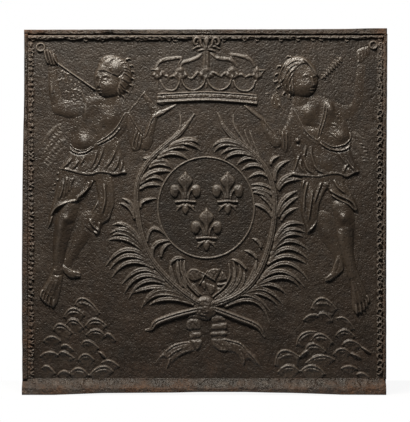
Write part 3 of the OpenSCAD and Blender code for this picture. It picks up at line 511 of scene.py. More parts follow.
    def cushion(self, outline, h, edge, crown=0.0, smooth=4):
        """A low form inside an outline that swells softly out of the plate."""
        window, deep = self.inside(outline, smooth)
        t = np.clip(deep / edge, 0, 1)
        rise = h * t * t * (3 - 2 * t) + crown * np.clip(deep / max(deep.max(), 1e-6), 0, 1)
        self.lay(window, np.where(deep > 0, rise, deep * FALL))

    def trim(self, hem, lip, wide):
        """Cuts the form off below a hem, given as points from left to right, and rolls its edge."""
        line = curve(hem, 6)[0]
        low = self.Y - np.interp(self.X, line[:, 0], line[:, 1])
        self.h = self.h + lip * np.exp(-(((low + 1.1) / wide) ** 2)) * np.clip(self.h, 0, 1)
        self.h = np.where(low > 0, np.minimum(self.h, -low * FALL), self.h)

    def worn(self, sigma, grain=0.8):
        """Softens the relief as wear does, by sigma columns, and gives it the sand's grain."""
        self.h = blurred(np.where(self.h > 0, TALL * self.h, self.h), sigma / self.step)
        self.h = self.h + grain * sand(self.X, self.Y) * np.clip(self.h + 1, 0, 1)


def blurred(h, sigma):
    """Heights after a soft blur, sigma in cells."""
    reach = max(1, int(math.ceil(3 * sigma)))
    taps = np.exp(-0.5 * (np.arange(-reach, reach + 1) / max(sigma, 1e-6)) ** 2)
    taps /= taps.sum()
    for axis in (0, 1):
        edges = [(reach, reach) if a == axis else (0, 0) for a in (0, 1)]
        wide = np.pad(h, edges, mode="edge")
        n = h.shape[axis]
        h = sum(
            w * (wide[k : k + n] if axis == 0 else wide[:, k : k + n])
            for k, w in enumerate(taps)
        )
    return h


# ---- Meshes ----------------------------------------------------------------

PIECES = []
INSET = 0.2 * MM  # how far the foremost and hindmost points stay inside the solids' box


def mesh_object(name, co, faces, values):
    """An object from points, arrays of quads or triangles and named values at its points."""
    mesh = bpy.data.meshes.new(name)
    sizes = np.concatenate([np.full(len(f), f.shape[1]) for f in faces])
    corners = np.concatenate([f.ravel() for f in faces]).astype(np.int32)
    starts = np.concatenate([[0], np.cumsum(sizes)[:-1]]).astype(np.int32)
    mesh.vertices.add(len(co))
    mesh.loops.add(len(corners))
    mesh.polygons.add(len(sizes))
    mesh.vertices.foreach_set("co", np.asarray(co, np.float32).ravel())
    mesh.loops.foreach_set("vertex_index", corners)
    mesh.polygons.foreach_set("loop_start", starts)
    mesh.update(calc_edges=True)
    mesh.validate()
    mesh.shade_smooth()
    for key, value in values.items():
        layer = mesh.attributes.new(key, "FLOAT", "POINT")
        layer.data.foreach_set("value", np.asarray(value, np.float32))
    made = bpy.data.objects.new(name, mesh)
    bpy.context.scene.collection.objects.link(made)
    return made


# How much rust lies along each edge, as ([columns or rows], [rust]) pairs
RUST_LEFT = ([40, 60, 110, 150, 380], [0.4, 0.3, 0.4, 0.55, 0.65])
RUST_RIGHT = 0.55
RUST_TOP = ([22, 80, 110, 388], [0.9, 0.75, 0.45, 0.5])
RUST_FOOT = ([22, 120, 180, 300, 388], [1.0, 0.9, 0.6, 0.7, 0.9])

# Rusty corners, as (column, row, half width, half height, rust)
RUST_CORNERS = ((24, 32, 12, 9, 0.6), (384, 33, 9, 10, 0.8), (370, 386, 16, 6, 0.5))


def rust_at(X, Y):
    """How rusty the iron is at a place of the sheet, from 0 to 1."""
    patch = 0.5 + 0.5 * noise(X, Y, 14, 21) + 0.25 * noise(X, Y, 5, 22)
    left = np.clip((35.5 - X) / 7, 0, 1) * np.interp(Y, *RUST_LEFT)
    right = np.clip((X - 380) / 5, 0, 1) * RUST_RIGHT
    top = np.clip((37 - Y) / 8, 0, 1) * np.interp(X, *RUST_TOP)
    foot = np.clip((Y - 383) / 5, 0, 1) * np.interp(X, *RUST_FOOT)
    low = 0.22 * np.clip((Y - 250) / 120, 0, 1)
    rust = (left + right + top + foot + low) * patch
    for col, row, wide, tall, much in RUST_CORNERS:
        rust = rust + much * np.exp(-(((X - col) / wide) ** 2) - ((Y - row) / tall) ** 2)
    return np.clip(rust, 0, 1)


def finish_piece(made, node, material):
    """Gives a mesh its material, and has it stand for its node."""
    made.data.materials.append(material)
    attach(made, "root")
    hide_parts(node)
    PIECES.append(made)


# The pieces that hands and soot have made smoother
POLISHED = (
    "head", "hair", "chest", "tunic", "skirt", "front_leg", "back_leg", "crown_arm", "trumpet_arm",
)


def turning(a, b, c):
    """Above 0 where a, b and c turn one way round, below 0 where they turn the other."""
    return (b[0] - a[0]) * (c[1] - a[1]) - (b[1] - a[1]) * (c[0] - a[0])


def relief_piece(relief, node, material):
    """Makes a window's relief a closed piece for a node, its edges sunk in the plate."""
    h = relief.h
    h[0], h[-1], h[:, 0], h[:, -1] = NOTHING, NOTHING, NOTHING, NOTHING
    solid = h > KEEP_ABOVE
    cell = solid[:-1, :-1] | solid[1:, :-1] | solid[:-1, 1:] | solid[1:, 1:]
    used = np.zeros(h.shape, int)
    for j, i in ((0, 0), (1, 0), (0, 1), (1, 1)):
        used[j : j + cell.shape[0], i : i + cell.shape[1]] += cell
    rim = (used > 0) & (used < 4)
    height = np.where(rim, RIM, np.maximum(h, DIP))
    index = np.full(h.shape, -1)
    index[used > 0] = np.arange((used > 0).sum())
    X, Y, height_used = relief.X[used > 0], relief.Y[used > 0], height[used > 0]
    y = FACE_Y - (height_used + swell(X, Y)) * MM
    y = np.maximum(y, FRONT_Y + INSET)
    co = np.stack([sheet_x(X), y, sheet_z(Y)], 1)
    a, b = index[:-1, :-1][cell], index[:-1, 1:][cell]
    c, d = index[1:, 1:][cell], index[1:, :-1][cell]
    quads = np.stack([a, d, c, b], 1)
    edges = np.concatenate([quads[:, [0, 1]], quads[:, [1, 2]], quads[:, [2, 3]], quads[:, [3, 0]]])
    key = np.sort(edges, 1)
    key = key[:, 0].astype(np.int64) * len(co) + key[:, 1]
    _, first, count = np.unique(key, return_index=True, return_counts=True)
    border = edges[first[count == 1]]
    names = np.unique(border)
    local = {int(v): k for k, v in enumerate(names)}
    flat = [mathutils.Vector((float(X[v]), float(Y[v]))) for v in names]
    joined = [(local[int(p)], local[int(q)]) for p, q in border]
    _, _, back, origin, _, _ = mathutils.geometry.delaunay_2d_cdt(flat, joined, [], 1, 1e-5)
    source = [o[0] if o else -1 for o in origin]
    under = []
    for f in back:
        tri = [names[source[v]] for v in f]
        mid_x = sum(X[v] for v in tri) / 3 - relief.cols[0]
        mid_y = sum(Y[v] for v in tri) / 3 - relief.rows[0]
        if cell[int(mid_y / relief.step), int(mid_x / relief.step)]:
            turn = turning(*[(X[v], Y[v]) for v in tri])
            under.append(tri if turn > 0 else tri[::-1])
    proud = h - blurred(h, 1.3 / relief.step)
    # crests are lightened, partly real wear and partly a painted highlight; hollows are darkened,
    # partly soot and partly painted shade
    values = {
        "wear_and_highlight": np.clip(proud[used > 0] / 2.5, 0, 1),
        "hollow": np.clip(-proud[used > 0] / 3.0, 0, 1),
        "rust": rust_at(X, Y),
        "polish": np.full(len(X), float(node.split("_", 1)[1] in POLISHED)),
    }
    faces = [quads] + ([np.array(under)] if under else [])
    finish_piece(mesh_object(node, co, faces, values), node, material)


# ---- The plate's uneven outline ---------------------------------------------

# Each edge as ([rows or columns], [columns or rows])
EDGE_LEFT = ([28, 100, 130, 190, 270, 320, 345, 395], [24, 24, 23.2, 22.2, 21.7, 21.7, 22, 22.1])
EDGE_RIGHT = ([28, 60, 130, 200, 300, 395], [387.7, 387.5, 387, 386.7, 386.4, 386.5])
EDGE_TOP = ([22, 100, 200, 300, 350, 366, 388], [29.9, 29.7, 29.6, 29.4, 29.1, 28.5, 28.4])
EDGE_FOOT = (
    [22, 54, 78, 102, 174, 198, 246, 270, 294, 318, 342, 388],
    [394.3, 394.3, 393.4, 392.5, 392, 391.4, 391.4, 392, 392.4, 393.2, 394.1, 394.3],
)


def left_edge(row):
    return np.interp(row, *EDGE_LEFT) + 0.12 * noise(20.0 + 0 * row, row, 7, 31)


def right_edge(row):
    return np.interp(row, *EDGE_RIGHT) + 0.12 * noise(390.0 + 0 * row, row, 7, 32)


def top_edge(col):
    return np.interp(col, *EDGE_TOP) + 0.1 * noise(col, 28.0 + 0 * col, 7, 33)


def foot_edge(col):
    return np.interp(col, *EDGE_FOOT)


def warp(X, Y):
    """Moves the plate's straight-edged sheet to its uneven outline."""
    u = (X - PLATE_LEFT) / (PLATE_RIGHT - PLATE_LEFT)
    v = (Y - PLATE_TOP) / (PLATE_FOOT - PLATE_TOP)
    left, right = left_edge(Y), right_edge(Y)
    top, foot = top_edge(X), foot_edge(X)
    return left + u * (right - left), top + v * (foot - top)


def ring_faces(rings, count):
    """Quads between rings of count points, and fans that close the ends to two extra points."""
    k = np.arange(count)
    k2 = (k + 1) % count
    quads = []
    for r in range(rings - 1):
        here, there = r * count, (r + 1) * count
        quads.append(np.stack([here + k, here + k2, there + k2, there + k], 1))
    end, last = (rings - 1) * count, rings * count
    near_fan = np.stack([k2, k, np.full(count, last)], 1)
    far_fan = np.stack([end + k, end + k2, np.full(count, last + 1)], 1)
    return [np.concatenate(quads), near_fan, far_fan]


# How dark with soot each bar is
SOOT = {"base_ledge": 0.5, "left_band": 0.8, "top_band": 0.3, "right_band": 0.3}


def bar(node, material, stations, section):
    """A bar through stations along its length; section(s) gives the points round it, in metres."""
    rings = [np.array(section(s), float) for s in stations]
    co = np.concatenate(rings + [rings[0].mean(0)[None], rings[-1].mean(0)[None]])
    faces = ring_faces(len(rings), len(rings[0]))
    X, Y = sheet_col(co[:, 0]), sheet_row(co[:, 2])
    proud = np.clip((FACE_Y - co[:, 1]) / (8 * MM), 0, 1)
    blotch = 0.45 * noise(X, Y, 7.5, 95) + 0.4 * noise(X, Y, 3.4, 96)
    hollow, rust = 0, 0
    if node == "base_ledge":
        mark = ledge_marks(X, Y)
        blotch = 1.5 * blotch
        # painted shade: the ledge is darker along the top of its slope, where it meets the face of
        # the plate
        hollow = 0.5 * np.clip((381 - Y) / 3, 0, 1)
        rust = 0.35 * np.clip(0.1 + noise(X, Y, 8, 97), 0, 1)
    else:
        mark = sand(X, Y)
    values = {
        "wear_and_highlight": proud * np.clip(0.2 * mark - 0.3 * blotch, 0, 0.5),
        "hollow": np.clip(np.clip(-mark / 1.6, 0, 1) + SOOT[node] + blotch + hollow, 0, 1),
        "rust": np.clip(rust_at(X, Y) + rust, 0, 1),
    }
    finish_piece(mesh_object(node, co, faces, values), node, material)


SHOULDER_STEPS = 3


def rounded(a, b, height, radius):
    """From a to b over a raised strip: [place, height] pairs with rounded shoulders."""
    turn = [math.pi / 2 * k / SHOULDER_STEPS for k in range(SHOULDER_STEPS + 1)]
    up = [(a + radius * (1 - math.cos(t)), height - radius * (1 - math.sin(t))) for t in turn]
    down = [
        (b - radius * (1 - math.cos(t)), height - radius * (1 - math.sin(t)))
        for t in reversed(turn)
    ]
    middle = [(a + (b - a) * k / 5, height) for k in (1, 2, 3, 4)]
    return up + middle + down


# The plate's edge, from its face to its back, as (how far in it lies in metres, share of the depth)
EDGE_STEPS = [
    (0.0, 0.002), (-0.0006, 0.35), (-0.0004, 0.7), (0.0, 0.86), (0.0016, 0.97), (0.004, 1.0),
]
PLATE_STEP = 2.75 * MM
FACE_INSET = 0.25  # columns that the face's rim lies inside the outline
BACK_POINTS = 60  # points of the back's grid along each side


def in_oval(X, Y, reach, soft):
    """1 inside the medallion's oval, 0 outside it."""
    oval = np.hypot((X - RING_CENTRE[0]) / RING_HALF[0], (Y - RING_CENTRE[1]) / RING_HALF[1])
    return np.clip((reach - oval) / soft, 0, 1)


def plate_values(X, Y, ahead):
    """Wear, darkening and rust at points of the plate, the darkening on the face partly soot and
    partly painted shade; those that lie ahead show its face.
    """
    # the face is darker inside the oval and towards the top; towards the bottom it is darker too,
    # partly soot and partly painted shade
    face_darkening = 0.6 * in_oval(X, Y, 1.03, 0.05)
    face_darkening = face_darkening + 0.45 * np.clip((Y - 290) / 60, 0, 1) + 0.4 * np.clip((130 - Y) / 50, 0, 1)
    face_darkening = face_darkening + 0.22 * noise(X, Y, 19, 91) + 0.16 * noise(X, Y, 7, 92)
    dark_face = np.clip(np.clip(-surface_marks(X, Y) / 1.5, 0, 1) + face_darkening, 0, 1)
    dark_back = np.clip(0.9 * noise(X, Y, 24, 98), 0, 0.7)
    rust_back = np.clip(0.12 + 0.5 * noise(X, Y, 33, 99) + 0.3 * noise(X, Y, 12, 100), 0, 0.7)
    return {
        "wear_and_highlight": np.clip(0.16 * noise(X, Y, 3.2, 93) + 0.12 * noise(X, Y, 9, 94), 0, 1),
        "hollow": np.where(ahead, dark_face, dark_back),
        "rust": np.where(ahead, rust_at(X, Y), rust_back),
    }


def make_plate(material):
    """The plain plate: an uneven face, a rough edge and a slightly hollow back."""
    nx = int((panel_hi.x - panel_lo.x) / PLATE_STEP)
    nz = int((panel_hi.z - panel_lo.z) / PLATE_STEP)
    X, Y = np.meshgrid(
        np.linspace(PLATE_LEFT, PLATE_RIGHT, nx + 1), np.linspace(PLATE_TOP, PLATE_FOOT, nz + 1)
    )
    X, Y = warp(X, Y)
    X = np.clip(X, left_edge(Y) + FACE_INSET, right_edge(Y) - FACE_INSET)
    Y = np.clip(Y, top_edge(X) + FACE_INSET, foot_edge(X) - FACE_INSET)
    h = swell(X, Y) + surface_marks(X, Y)
    co = [np.stack([sheet_x(X), FACE_Y - h * MM, sheet_z(Y)], 2).reshape(-1, 3)]
    index = np.arange(X.size).reshape(X.shape)
    quads = [index[:-1, :-1], index[1:, :-1], index[1:, 1:], index[:-1, 1:]]
    quads = np.stack(quads, 2).reshape(-1, 4)
    # the edge: rings of the face's rim, from the front to the back
    rim = np.concatenate([index[0, :-1], index[:-1, -1], index[-1, :0:-1], index[:0:-1, 0]])
    edge = co[0][rim]
    middle_x, middle_z = (panel_lo.x + panel_hi.x) / 2, (panel_lo.z + panel_hi.z) / 2
    rows, total = [rim], len(co[0])
    for k, (inward, share) in enumerate(EDGE_STEPS):
        ring = edge.copy()
        pull = inward
        if 0 < k < 5:
            rough = noise(sheet_col(edge[:, 0]) + 7 * k, sheet_row(edge[:, 2]), 3, 41 + k)
            pull = inward + np.abs(0.0004 * rough)
        ring[:, 0] = middle_x + (edge[:, 0] - middle_x) * (1 - pull / (panel_hi.x - middle_x))
        ring[:, 2] = middle_z + (edge[:, 2] - middle_z) * (1 - pull / (panel_hi.z - middle_z))
        ring[:, 1] = FACE_Y + (BACK_Y - FACE_Y) * share if share < 1.0 else BACK_Y - INSET
        co.append(ring)
        rows.append(total + np.arange(len(ring)))
        total += len(ring)
    for one, two in zip(rows, rows[1:]):
        quads = np.concatenate([quads, np.stack([one, np.roll(one, -1), np.roll(two, -1), two], 1)])
    # the back: the last ring filled with triangles over a slightly hollow grid
    last = co[-1]
    gx, gz = np.meshgrid(
        np.linspace(panel_lo.x + 0.014, panel_hi.x - 0.014, BACK_POINTS),
        np.linspace(panel_lo.z + 0.02, panel_hi.z - 0.016, BACK_POINTS),
    )
    gx, gz = gx.ravel(), gz.ravel()
    flat = [mathutils.Vector((p[0], p[2])) for p in last]
    flat += [mathutils.Vector(p) for p in zip(gx.tolist(), gz.tolist())]
    loop = [(k, (k + 1) % len(last)) for k in range(len(last))]
    _, _, back, origin, _, _ = mathutils.geometry.delaunay_2d_cdt(flat, loop, [], 1, 1e-6)
    hollow = 0.0012 * (0.5 + 0.5 * noise(sheet_col(gx), sheet_row(gz), 40, 47))
    hollow = hollow + 0.0005 * (1 + noise(sheet_col(gx), sheet_row(gz), 12, 48))
    co.append(np.stack([gx, BACK_Y - hollow, gz], 1))
    tris = []
    for f in back:
        tri = [origin[v][0] for v in f]
        turn = turning(*[flat[v] for v in tri])
        tris.append([rows[-1][0] + v for v in (tri if turn < 0 else tri[::-1])])
    co = np.concatenate(co)
    values = plate_values(sheet_col(co[:, 0]), sheet_row(co[:, 2]), co[:, 1] < FACE_Y + 0.003)
    made = mesh_object("back_plate", co, [quads, np.array(tris)], values)
    finish_piece(made, "back_plate", material)


def surface_marks(X, Y):
    """Sand grain, scars and scratches of the field, in millimetres."""
    marks = np.interp(Y, [60, 160, 300], [0.42, 0.64, 0.95]) * sand(X, Y)
    smooth = in_oval(X, Y, 1.02, 0.06)
    marks = marks * (1 - 0.88 * smooth) + smooth * 0.12 * noise(X * 0.35, Y * 2.2, 4.5, 53)
    for col, row, size, deep in SCARS:
        marks = marks + deep * np.exp(-(((X - col) / size) ** 2) - ((Y - row) / size) ** 2)
    for (x0, y0), (x1, y1), wide, deep in SCRATCHES:
        d = np.array([x1 - x0, y1 - y0])
        t = np.clip(((X - x0) * d[0] + (Y - y0) * d[1]) / (d @ d), 0, 1)
        gap = np.hypot(X - x0 - t * d[0], Y - y0 - t * d[1])
        marks = marks + deep * np.exp(-((gap / wide) ** 2))
    return marks


# Scars as [column, row, size, height] and scratches as [from, to, width, height]
SCARS = [
    [374.5, 121.5, 2.4, -1.0], [377, 117.5, 2.0, 0.9], [366, 152, 1.6, -0.8], [370, 158, 1.5, -0.7],
    [343, 49, 1.4, -0.7], [351, 95, 1.4, -0.5], [371, 100, 1.6, -0.6], [60, 190, 1.8, -0.5],
    [367, 186, 1.3, -0.5], [372, 213, 1.4, -0.5], [327, 262, 1.8, -0.4], [128, 345, 1.8, 0.5],
    [206, 368, 2.2, -0.5], [250, 372, 2.0, 0.4], [140, 56, 1.6, -0.5], [275, 52, 1.5, -0.5],
]
SCRATCHES = [
    [(315, 42), (315.5, 66), 0.8, 0.5], [(317.6, 44), (318, 62), 0.7, -0.4],
    [(371, 133), (382, 127), 1.2, 0.8], [(326, 44), (327, 58), 0.7, -0.3],
    [(362, 66), (363, 92), 0.8, -0.35], [(142, 44), (142, 70), 0.7, 0.25],
]


# The bands, in millimetres but for the step
BAR_STEP = 3.2 * MM
BAR_SKIRT = 1.6  # how deep their edges sink in the plate
SHOULDER = 2.0  # how far their rounded shoulders reach


def band_points(wide, height, place_at, seed):
    """Points round a band (column, row, millimetres proud); place_at(mm) gives column and row."""
    points = []
    top = rounded(0.0, wide, height, SHOULDER)
    for place, high in [(0.0, -BAR_SKIRT)] + top + [(wide, -BAR_SKIRT)]:
        col, row = place_at(place)
        lift = 0.35 * noise(col, row, 5, seed) if high > BAND_H - 1 else 0
        points.append((col, row, high + lift + swell(col, row)))
    return points


def make_bands(material):
    """The plain raised rim on the left, on the right and along the top."""

    def upright(outer, col_in, away):
        """The section of an upright band between its outer edge and its inner column."""

        def section(z):
            row = sheet_row(z)
            out = outer(row)
            wide = abs(col_in + 0.25 * noise(col_in, row, 6, 61) - out) * COL_PITCH / MM
            place_at = lambda place: (out + away * place * MM / COL_PITCH, row)
            points = band_points(wide, BAND_H, place_at, 62)
            return [(sheet_x(col), FACE_Y - h * MM, z) for col, _, h in points][::away]

        return section

    def level(x):
        """The section of the top band."""
        col = sheet_col(x)
        out = top_edge(col)
        wide = (BAND_IN_TOP - 0.3 + 0.3 * noise(col, 30.0, 6, 63) - out) * ROW_PITCH / MM
        place_at = lambda place: (col, out + place * MM / ROW_PITCH)
        points = band_points(wide, BAND_H + 0.4, place_at, 64)
        return [(x, FACE_Y - h * MM, sheet_z(row)) for _, row, h in points]

    rows = np.arange(field_z0 - 0.002, panel_hi.z - 0.011, BAR_STEP)
    bar("left_band", material, rows, upright(left_edge, BAND_IN_LEFT, 1))
    bar("right_band", material, rows, upright(right_edge, BAND_IN_RIGHT, -1))
    row_mid = (PLATE_TOP + BAND_IN_TOP) / 2
    x0, x1 = sheet_x(left_edge(row_mid)), sheet_x(right_edge(row_mid))
    bar("top_band", material, np.arange(x0, x1, BAR_STEP), level)


def ledge_marks(X, Y):
    """The worn, scratched face of the ledge, in millimetres."""
    rough = 1.3 * noise(X, Y, 4.4, 73) + 1.3 * noise(X, Y, 2.3, 74) + 0.7 * noise(X, Y, 1.4, 77)
    bend_x = 1.6 * np.sin((Y - 380) / 2)
    bell = lambda far, wide: np.exp(-((far / wide) ** 2))
    scrape = bell(X - 83.5 + bend_x, 1.1) - 0.7 * bell(X - 86 + bend_x, 1.1)
    seam_at = 386.6 + 0.5 * noise(X, Y, 9, 78)
    seam = bell(Y - seam_at, 0.8) * np.clip(0.6 + noise(X, Y, 14, 79), 0, 1)
    return rough + 2.2 * scrape - 1.8 * seam


LEDGE_STEP = 2.2 * MM
LEDGE_ROW = 388.0  # the row where its ends meet the plate's outline
SLOPE_POINTS = 10
FRONT_POINTS = 6


def make_ledge(material):
    """The sloping ledge and its upright front along the foot of the plate."""
    proud = (FACE_Y - FRONT_Y) / MM
    front = proud - 0.7

    def section(x):
        """Points round the ledge: its slope, the upright front below the brow, and the foot."""
        col = sheet_col(x)
        foot = sheet_z(foot_edge(col)) / MM
        top = LEDGE_TOP / MM - 0.6 + 0.5 * noise(col, 380.0, 17, 71)
        brow = 17.6 + 0.9 * noise(col, 380.0, 11, 72) + 0.5 * noise(col, 380.0, 4, 80)
        points = [(-1.5, top + 0.6), (0.6, top)]
        for k in range(1, SLOPE_POINTS + 1):
            t = k / (SLOPE_POINTS + 0.5)
            rough = 0.8 * ledge_marks(col, 378.5 + 0.8 * k)
            points.append((0.6 + t**1.45 * (proud - 2.6) + rough, top + (brow - top) * t + rough))
        low, high = foot + 2.0, brow - 1.4
        for k in range(FRONT_POINTS + 1):
            t = k / FRONT_POINTS
            rough = 0.7 * ledge_marks(col, 387.0 + t * 5.6)
            out = min(front - 0.9 + rough - 0.5 * t, proud - 0.1)
            points.append((out, high + (low - high) * t))
        points += [(front - 2.4, foot), (proud / 2, foot), (-1.5, foot)]
        return [(x, FACE_Y - h * MM, z * MM) for h, z in points]

    x0, x1 = sheet_x(left_edge(LEDGE_ROW)), sheet_x(right_edge(LEDGE_ROW))
    bar("base_ledge", material, np.arange(x0, x1, LEDGE_STEP), section)


# ---- The pieces of relief ----------------------------------------------------

MIRROR = 412.2  # the sum of a place's column and its mirror image's


def mirrored(p, side):
    """A place drawn for the left figure, on the side that is wanted."""
    return [p[0], p[1]] if side == LEFT else [MIRROR - p[0], p[1] - 0.6]


def bend(a, m, b, n=8):
    """A smooth line from a through m to b."""
    a, m, b = (np.array(p, float) for p in (a, m, b))
    c = 2 * m - (a + b) / 2
    t = np.linspace(0, 1, n + 1)[:, None]
    return (a * (1 - t) ** 2 + 2 * c * t * (1 - t) + b * t * t).tolist()


def square_to(line):
    """Unit vectors square to a line, at each of its points."""
    d = np.gradient(line, axis=0)
    long = np.maximum(np.hypot(d[:, 0], d[:, 1]), 1e-9)
    return np.stack([-d[:, 1], d[:, 0]], 1) / long[:, None]


def flutes(r, beads, shifts, wide, ends):
    """Grooves and ridges along a stem, each as (share of wide to one side, height, half width)."""
    line, where = curve(beads, 4)
    across = square_to(line) * np.interp(where, range(len(beads)), wide)[:, None]
    for shift, h, w in shifts:
        r.add((line + across * shift).tolist(), w, h, ends=ends, steps=1)


def leaf(r, s, w, h):
    """A palm leaf: a blade whose upper side is lit and whose lower side drops steeply."""
    line = bend(*s)
    full = taper(0.8, 0.25, len(line))
    r.stroke(line, w * full, h * np.clip(full + 0.12, 0, 1), skew=0.6, power=0.42, steps=2)


def fold(r, path, w, h, groove, ends=0.15):
    """A thin ridge with a groove along its shaded side."""
    r.add(path, w, h, skew=0.3, ends=ends, soft=0.8)
    r.add(shifted(path, 1.6 * w), 0.8 * w, groove, ends=ends, soft=0.8, steps=1)


def shifted(path, gap):
    """A line moved towards its shaded side, right and down, by gap columns."""
    line = curve(path, 4)[0]
    across = square_to(line)
    return (line + gap * across * (1 if (across @ [0.45, 0.9]).sum() > 0 else -1)).tolist()


def folds(r, paths, *sizes, **more):
    for p in paths:
        fold(r, p, *sizes, **more)


# Ring, lilies


def make_ring():
    r = Relief(152, 150, 260, 266)
    t = np.linspace(0, 2 * math.pi, 97)
    cols = RING_CENTRE[0] + (RING_HALF[0] + 0.3) * np.cos(t)
    rows = RING_CENTRE[1] + (RING_HALF[1] + 0.4) * np.sin(t)
    wide = 1.1 + 0.15 * noise(cols, rows, 9, 81)
    r.stroke(np.stack([cols, rows], 1).tolist(), wide, 2.2, steps=1, power=0.6)
    r.worn(0.35)
    return r


def make_lily(centre):
    x, y = centre
    r = Relief(x - 18, y - 25, x + 18, y + 26, 0.34)
    at = lambda points, s=1: [[x + s * p[0], y + p[1]] for p in points]
    # the middle petal, with its ridge
    r.pad(at([
        [0, -21.6], [-2.6, -18.6], [-5.8, -15.8], [-7.6, -12.4], [-6.2, -8.6], [-3.4, -5.2],
        [-2.2, -1], [-2, 6], [2, 6], [2.2, -1], [3.4, -5.2], [6.2, -8.6], [7.6, -12.4],
        [5.8, -15.8], [2.6, -18.6],
    ]), 3.0, 2.0, crown=1.0)
    r.add(at([[0, -19], [0, -12], [0, -4], [0, 4]]), 0.9, 0.6)
    # the side petals rise, curl over and hang as big drops
    drop = [
        [1.6, 6.4], [2.2, 1.6], [4.0, -2.8], [6.6, -7.0], [10.6, -8.4], [14.4, -7.2], [15.7, -2.4],
        [14.6, 2.6], [11.4, 4.8], [8.2, 3.6], [6.9, 0.4], [6.0, -0.6], [4.6, 2.2], [3.8, 6.4],
    ]
    for s in (-1, 1):
        r.pad(at(drop, s), 2.8, 2.2, crown=1.2)
        r.swelling([x + s * 10.8, y - 2.6], 3.2, 3.4, 0.5)
        r.add(at([[4.2, 4.6], [6.0, -0.4], [8.4, -3.4]], s), 0.55, -1.1)
    # the double bar across, and the foot
    r.stroke(at([[-9.6, 8.8], [0, 8.2], [9.6, 8.8]]), 1.4, [3, 3.8, 3], power=0.5)
    r.stroke(at([[-8.4, 13.4], [0, 12.9], [8.4, 13.4]]), 1.0, [2, 2.8, 2], power=0.5)
    for s in (-1, 1):
        r.stroke(
            at([[1.5, 11.5], [5.0, 13.4], [7.6, 16.0], [8.8, 18.2]], s), [1.5, 1.6, 1.3, 0.8],
            [2.6, 2.6, 2.2, 1.6], power=0.5,
        )
    r.pad(at([
        [0, 11], [-2.8, 13], [-3.6, 16.4], [-2.4, 19.4], [0, 22], [2.4, 19.4], [3.6, 16.4],
        [2.8, 13],
    ]), 2.6, 2.4, crown=1.0)
    r.worn(0.4, 0.4)
    return r


# Crown


def make_circlet():
    r = Relief(150, 84, 266, 112, 0.4)
    top = [[157.8, 93.4], [174, 92.4], [206, 91.1], [238, 92.8], [256.4, 94.6]]
    foot = [[256.8, 103.8], [240, 102.2], [206, 101], [176, 102.4], [158.8, 105.2]]
    r.pad(top + foot, 2.2, 1.4, smooth=3)
    down = lambda k: [[t[0], t[1] + k] for t in top]
    middle = np.array(top)
    r.stroke(down(0.9), 0.9, 3.4, power=0.5)
    r.stroke(down(8.6), 1.5, 4.0, skew=0.4, power=0.5)
    r.add(down(2.4), 0.5, -1.0, ends=0)
    r.add(down(6.6), 0.55, -1.1, ends=0)
    chance = np.random.default_rng(35)
    for k in range(44):
        col = 159.5 + k * 2.25
        y = np.interp(col, middle[:, 0], middle[:, 1])
        for low in (3.7, 5.3):
            place = [col + chance.uniform(-0.6, 0.6), y + low + chance.uniform(-0.3, 0.3)]
            r.dome(place, 0.9, 0.8, chance.uniform(2.6, 3.6), power=0.5, foot=1.8)
    for place in ([160.6, 94.4], [161.4, 98.2], [161, 104]):
        r.swelling(place, 3.2, 1.2, 0.9)
    r.worn(0.33)
    return r


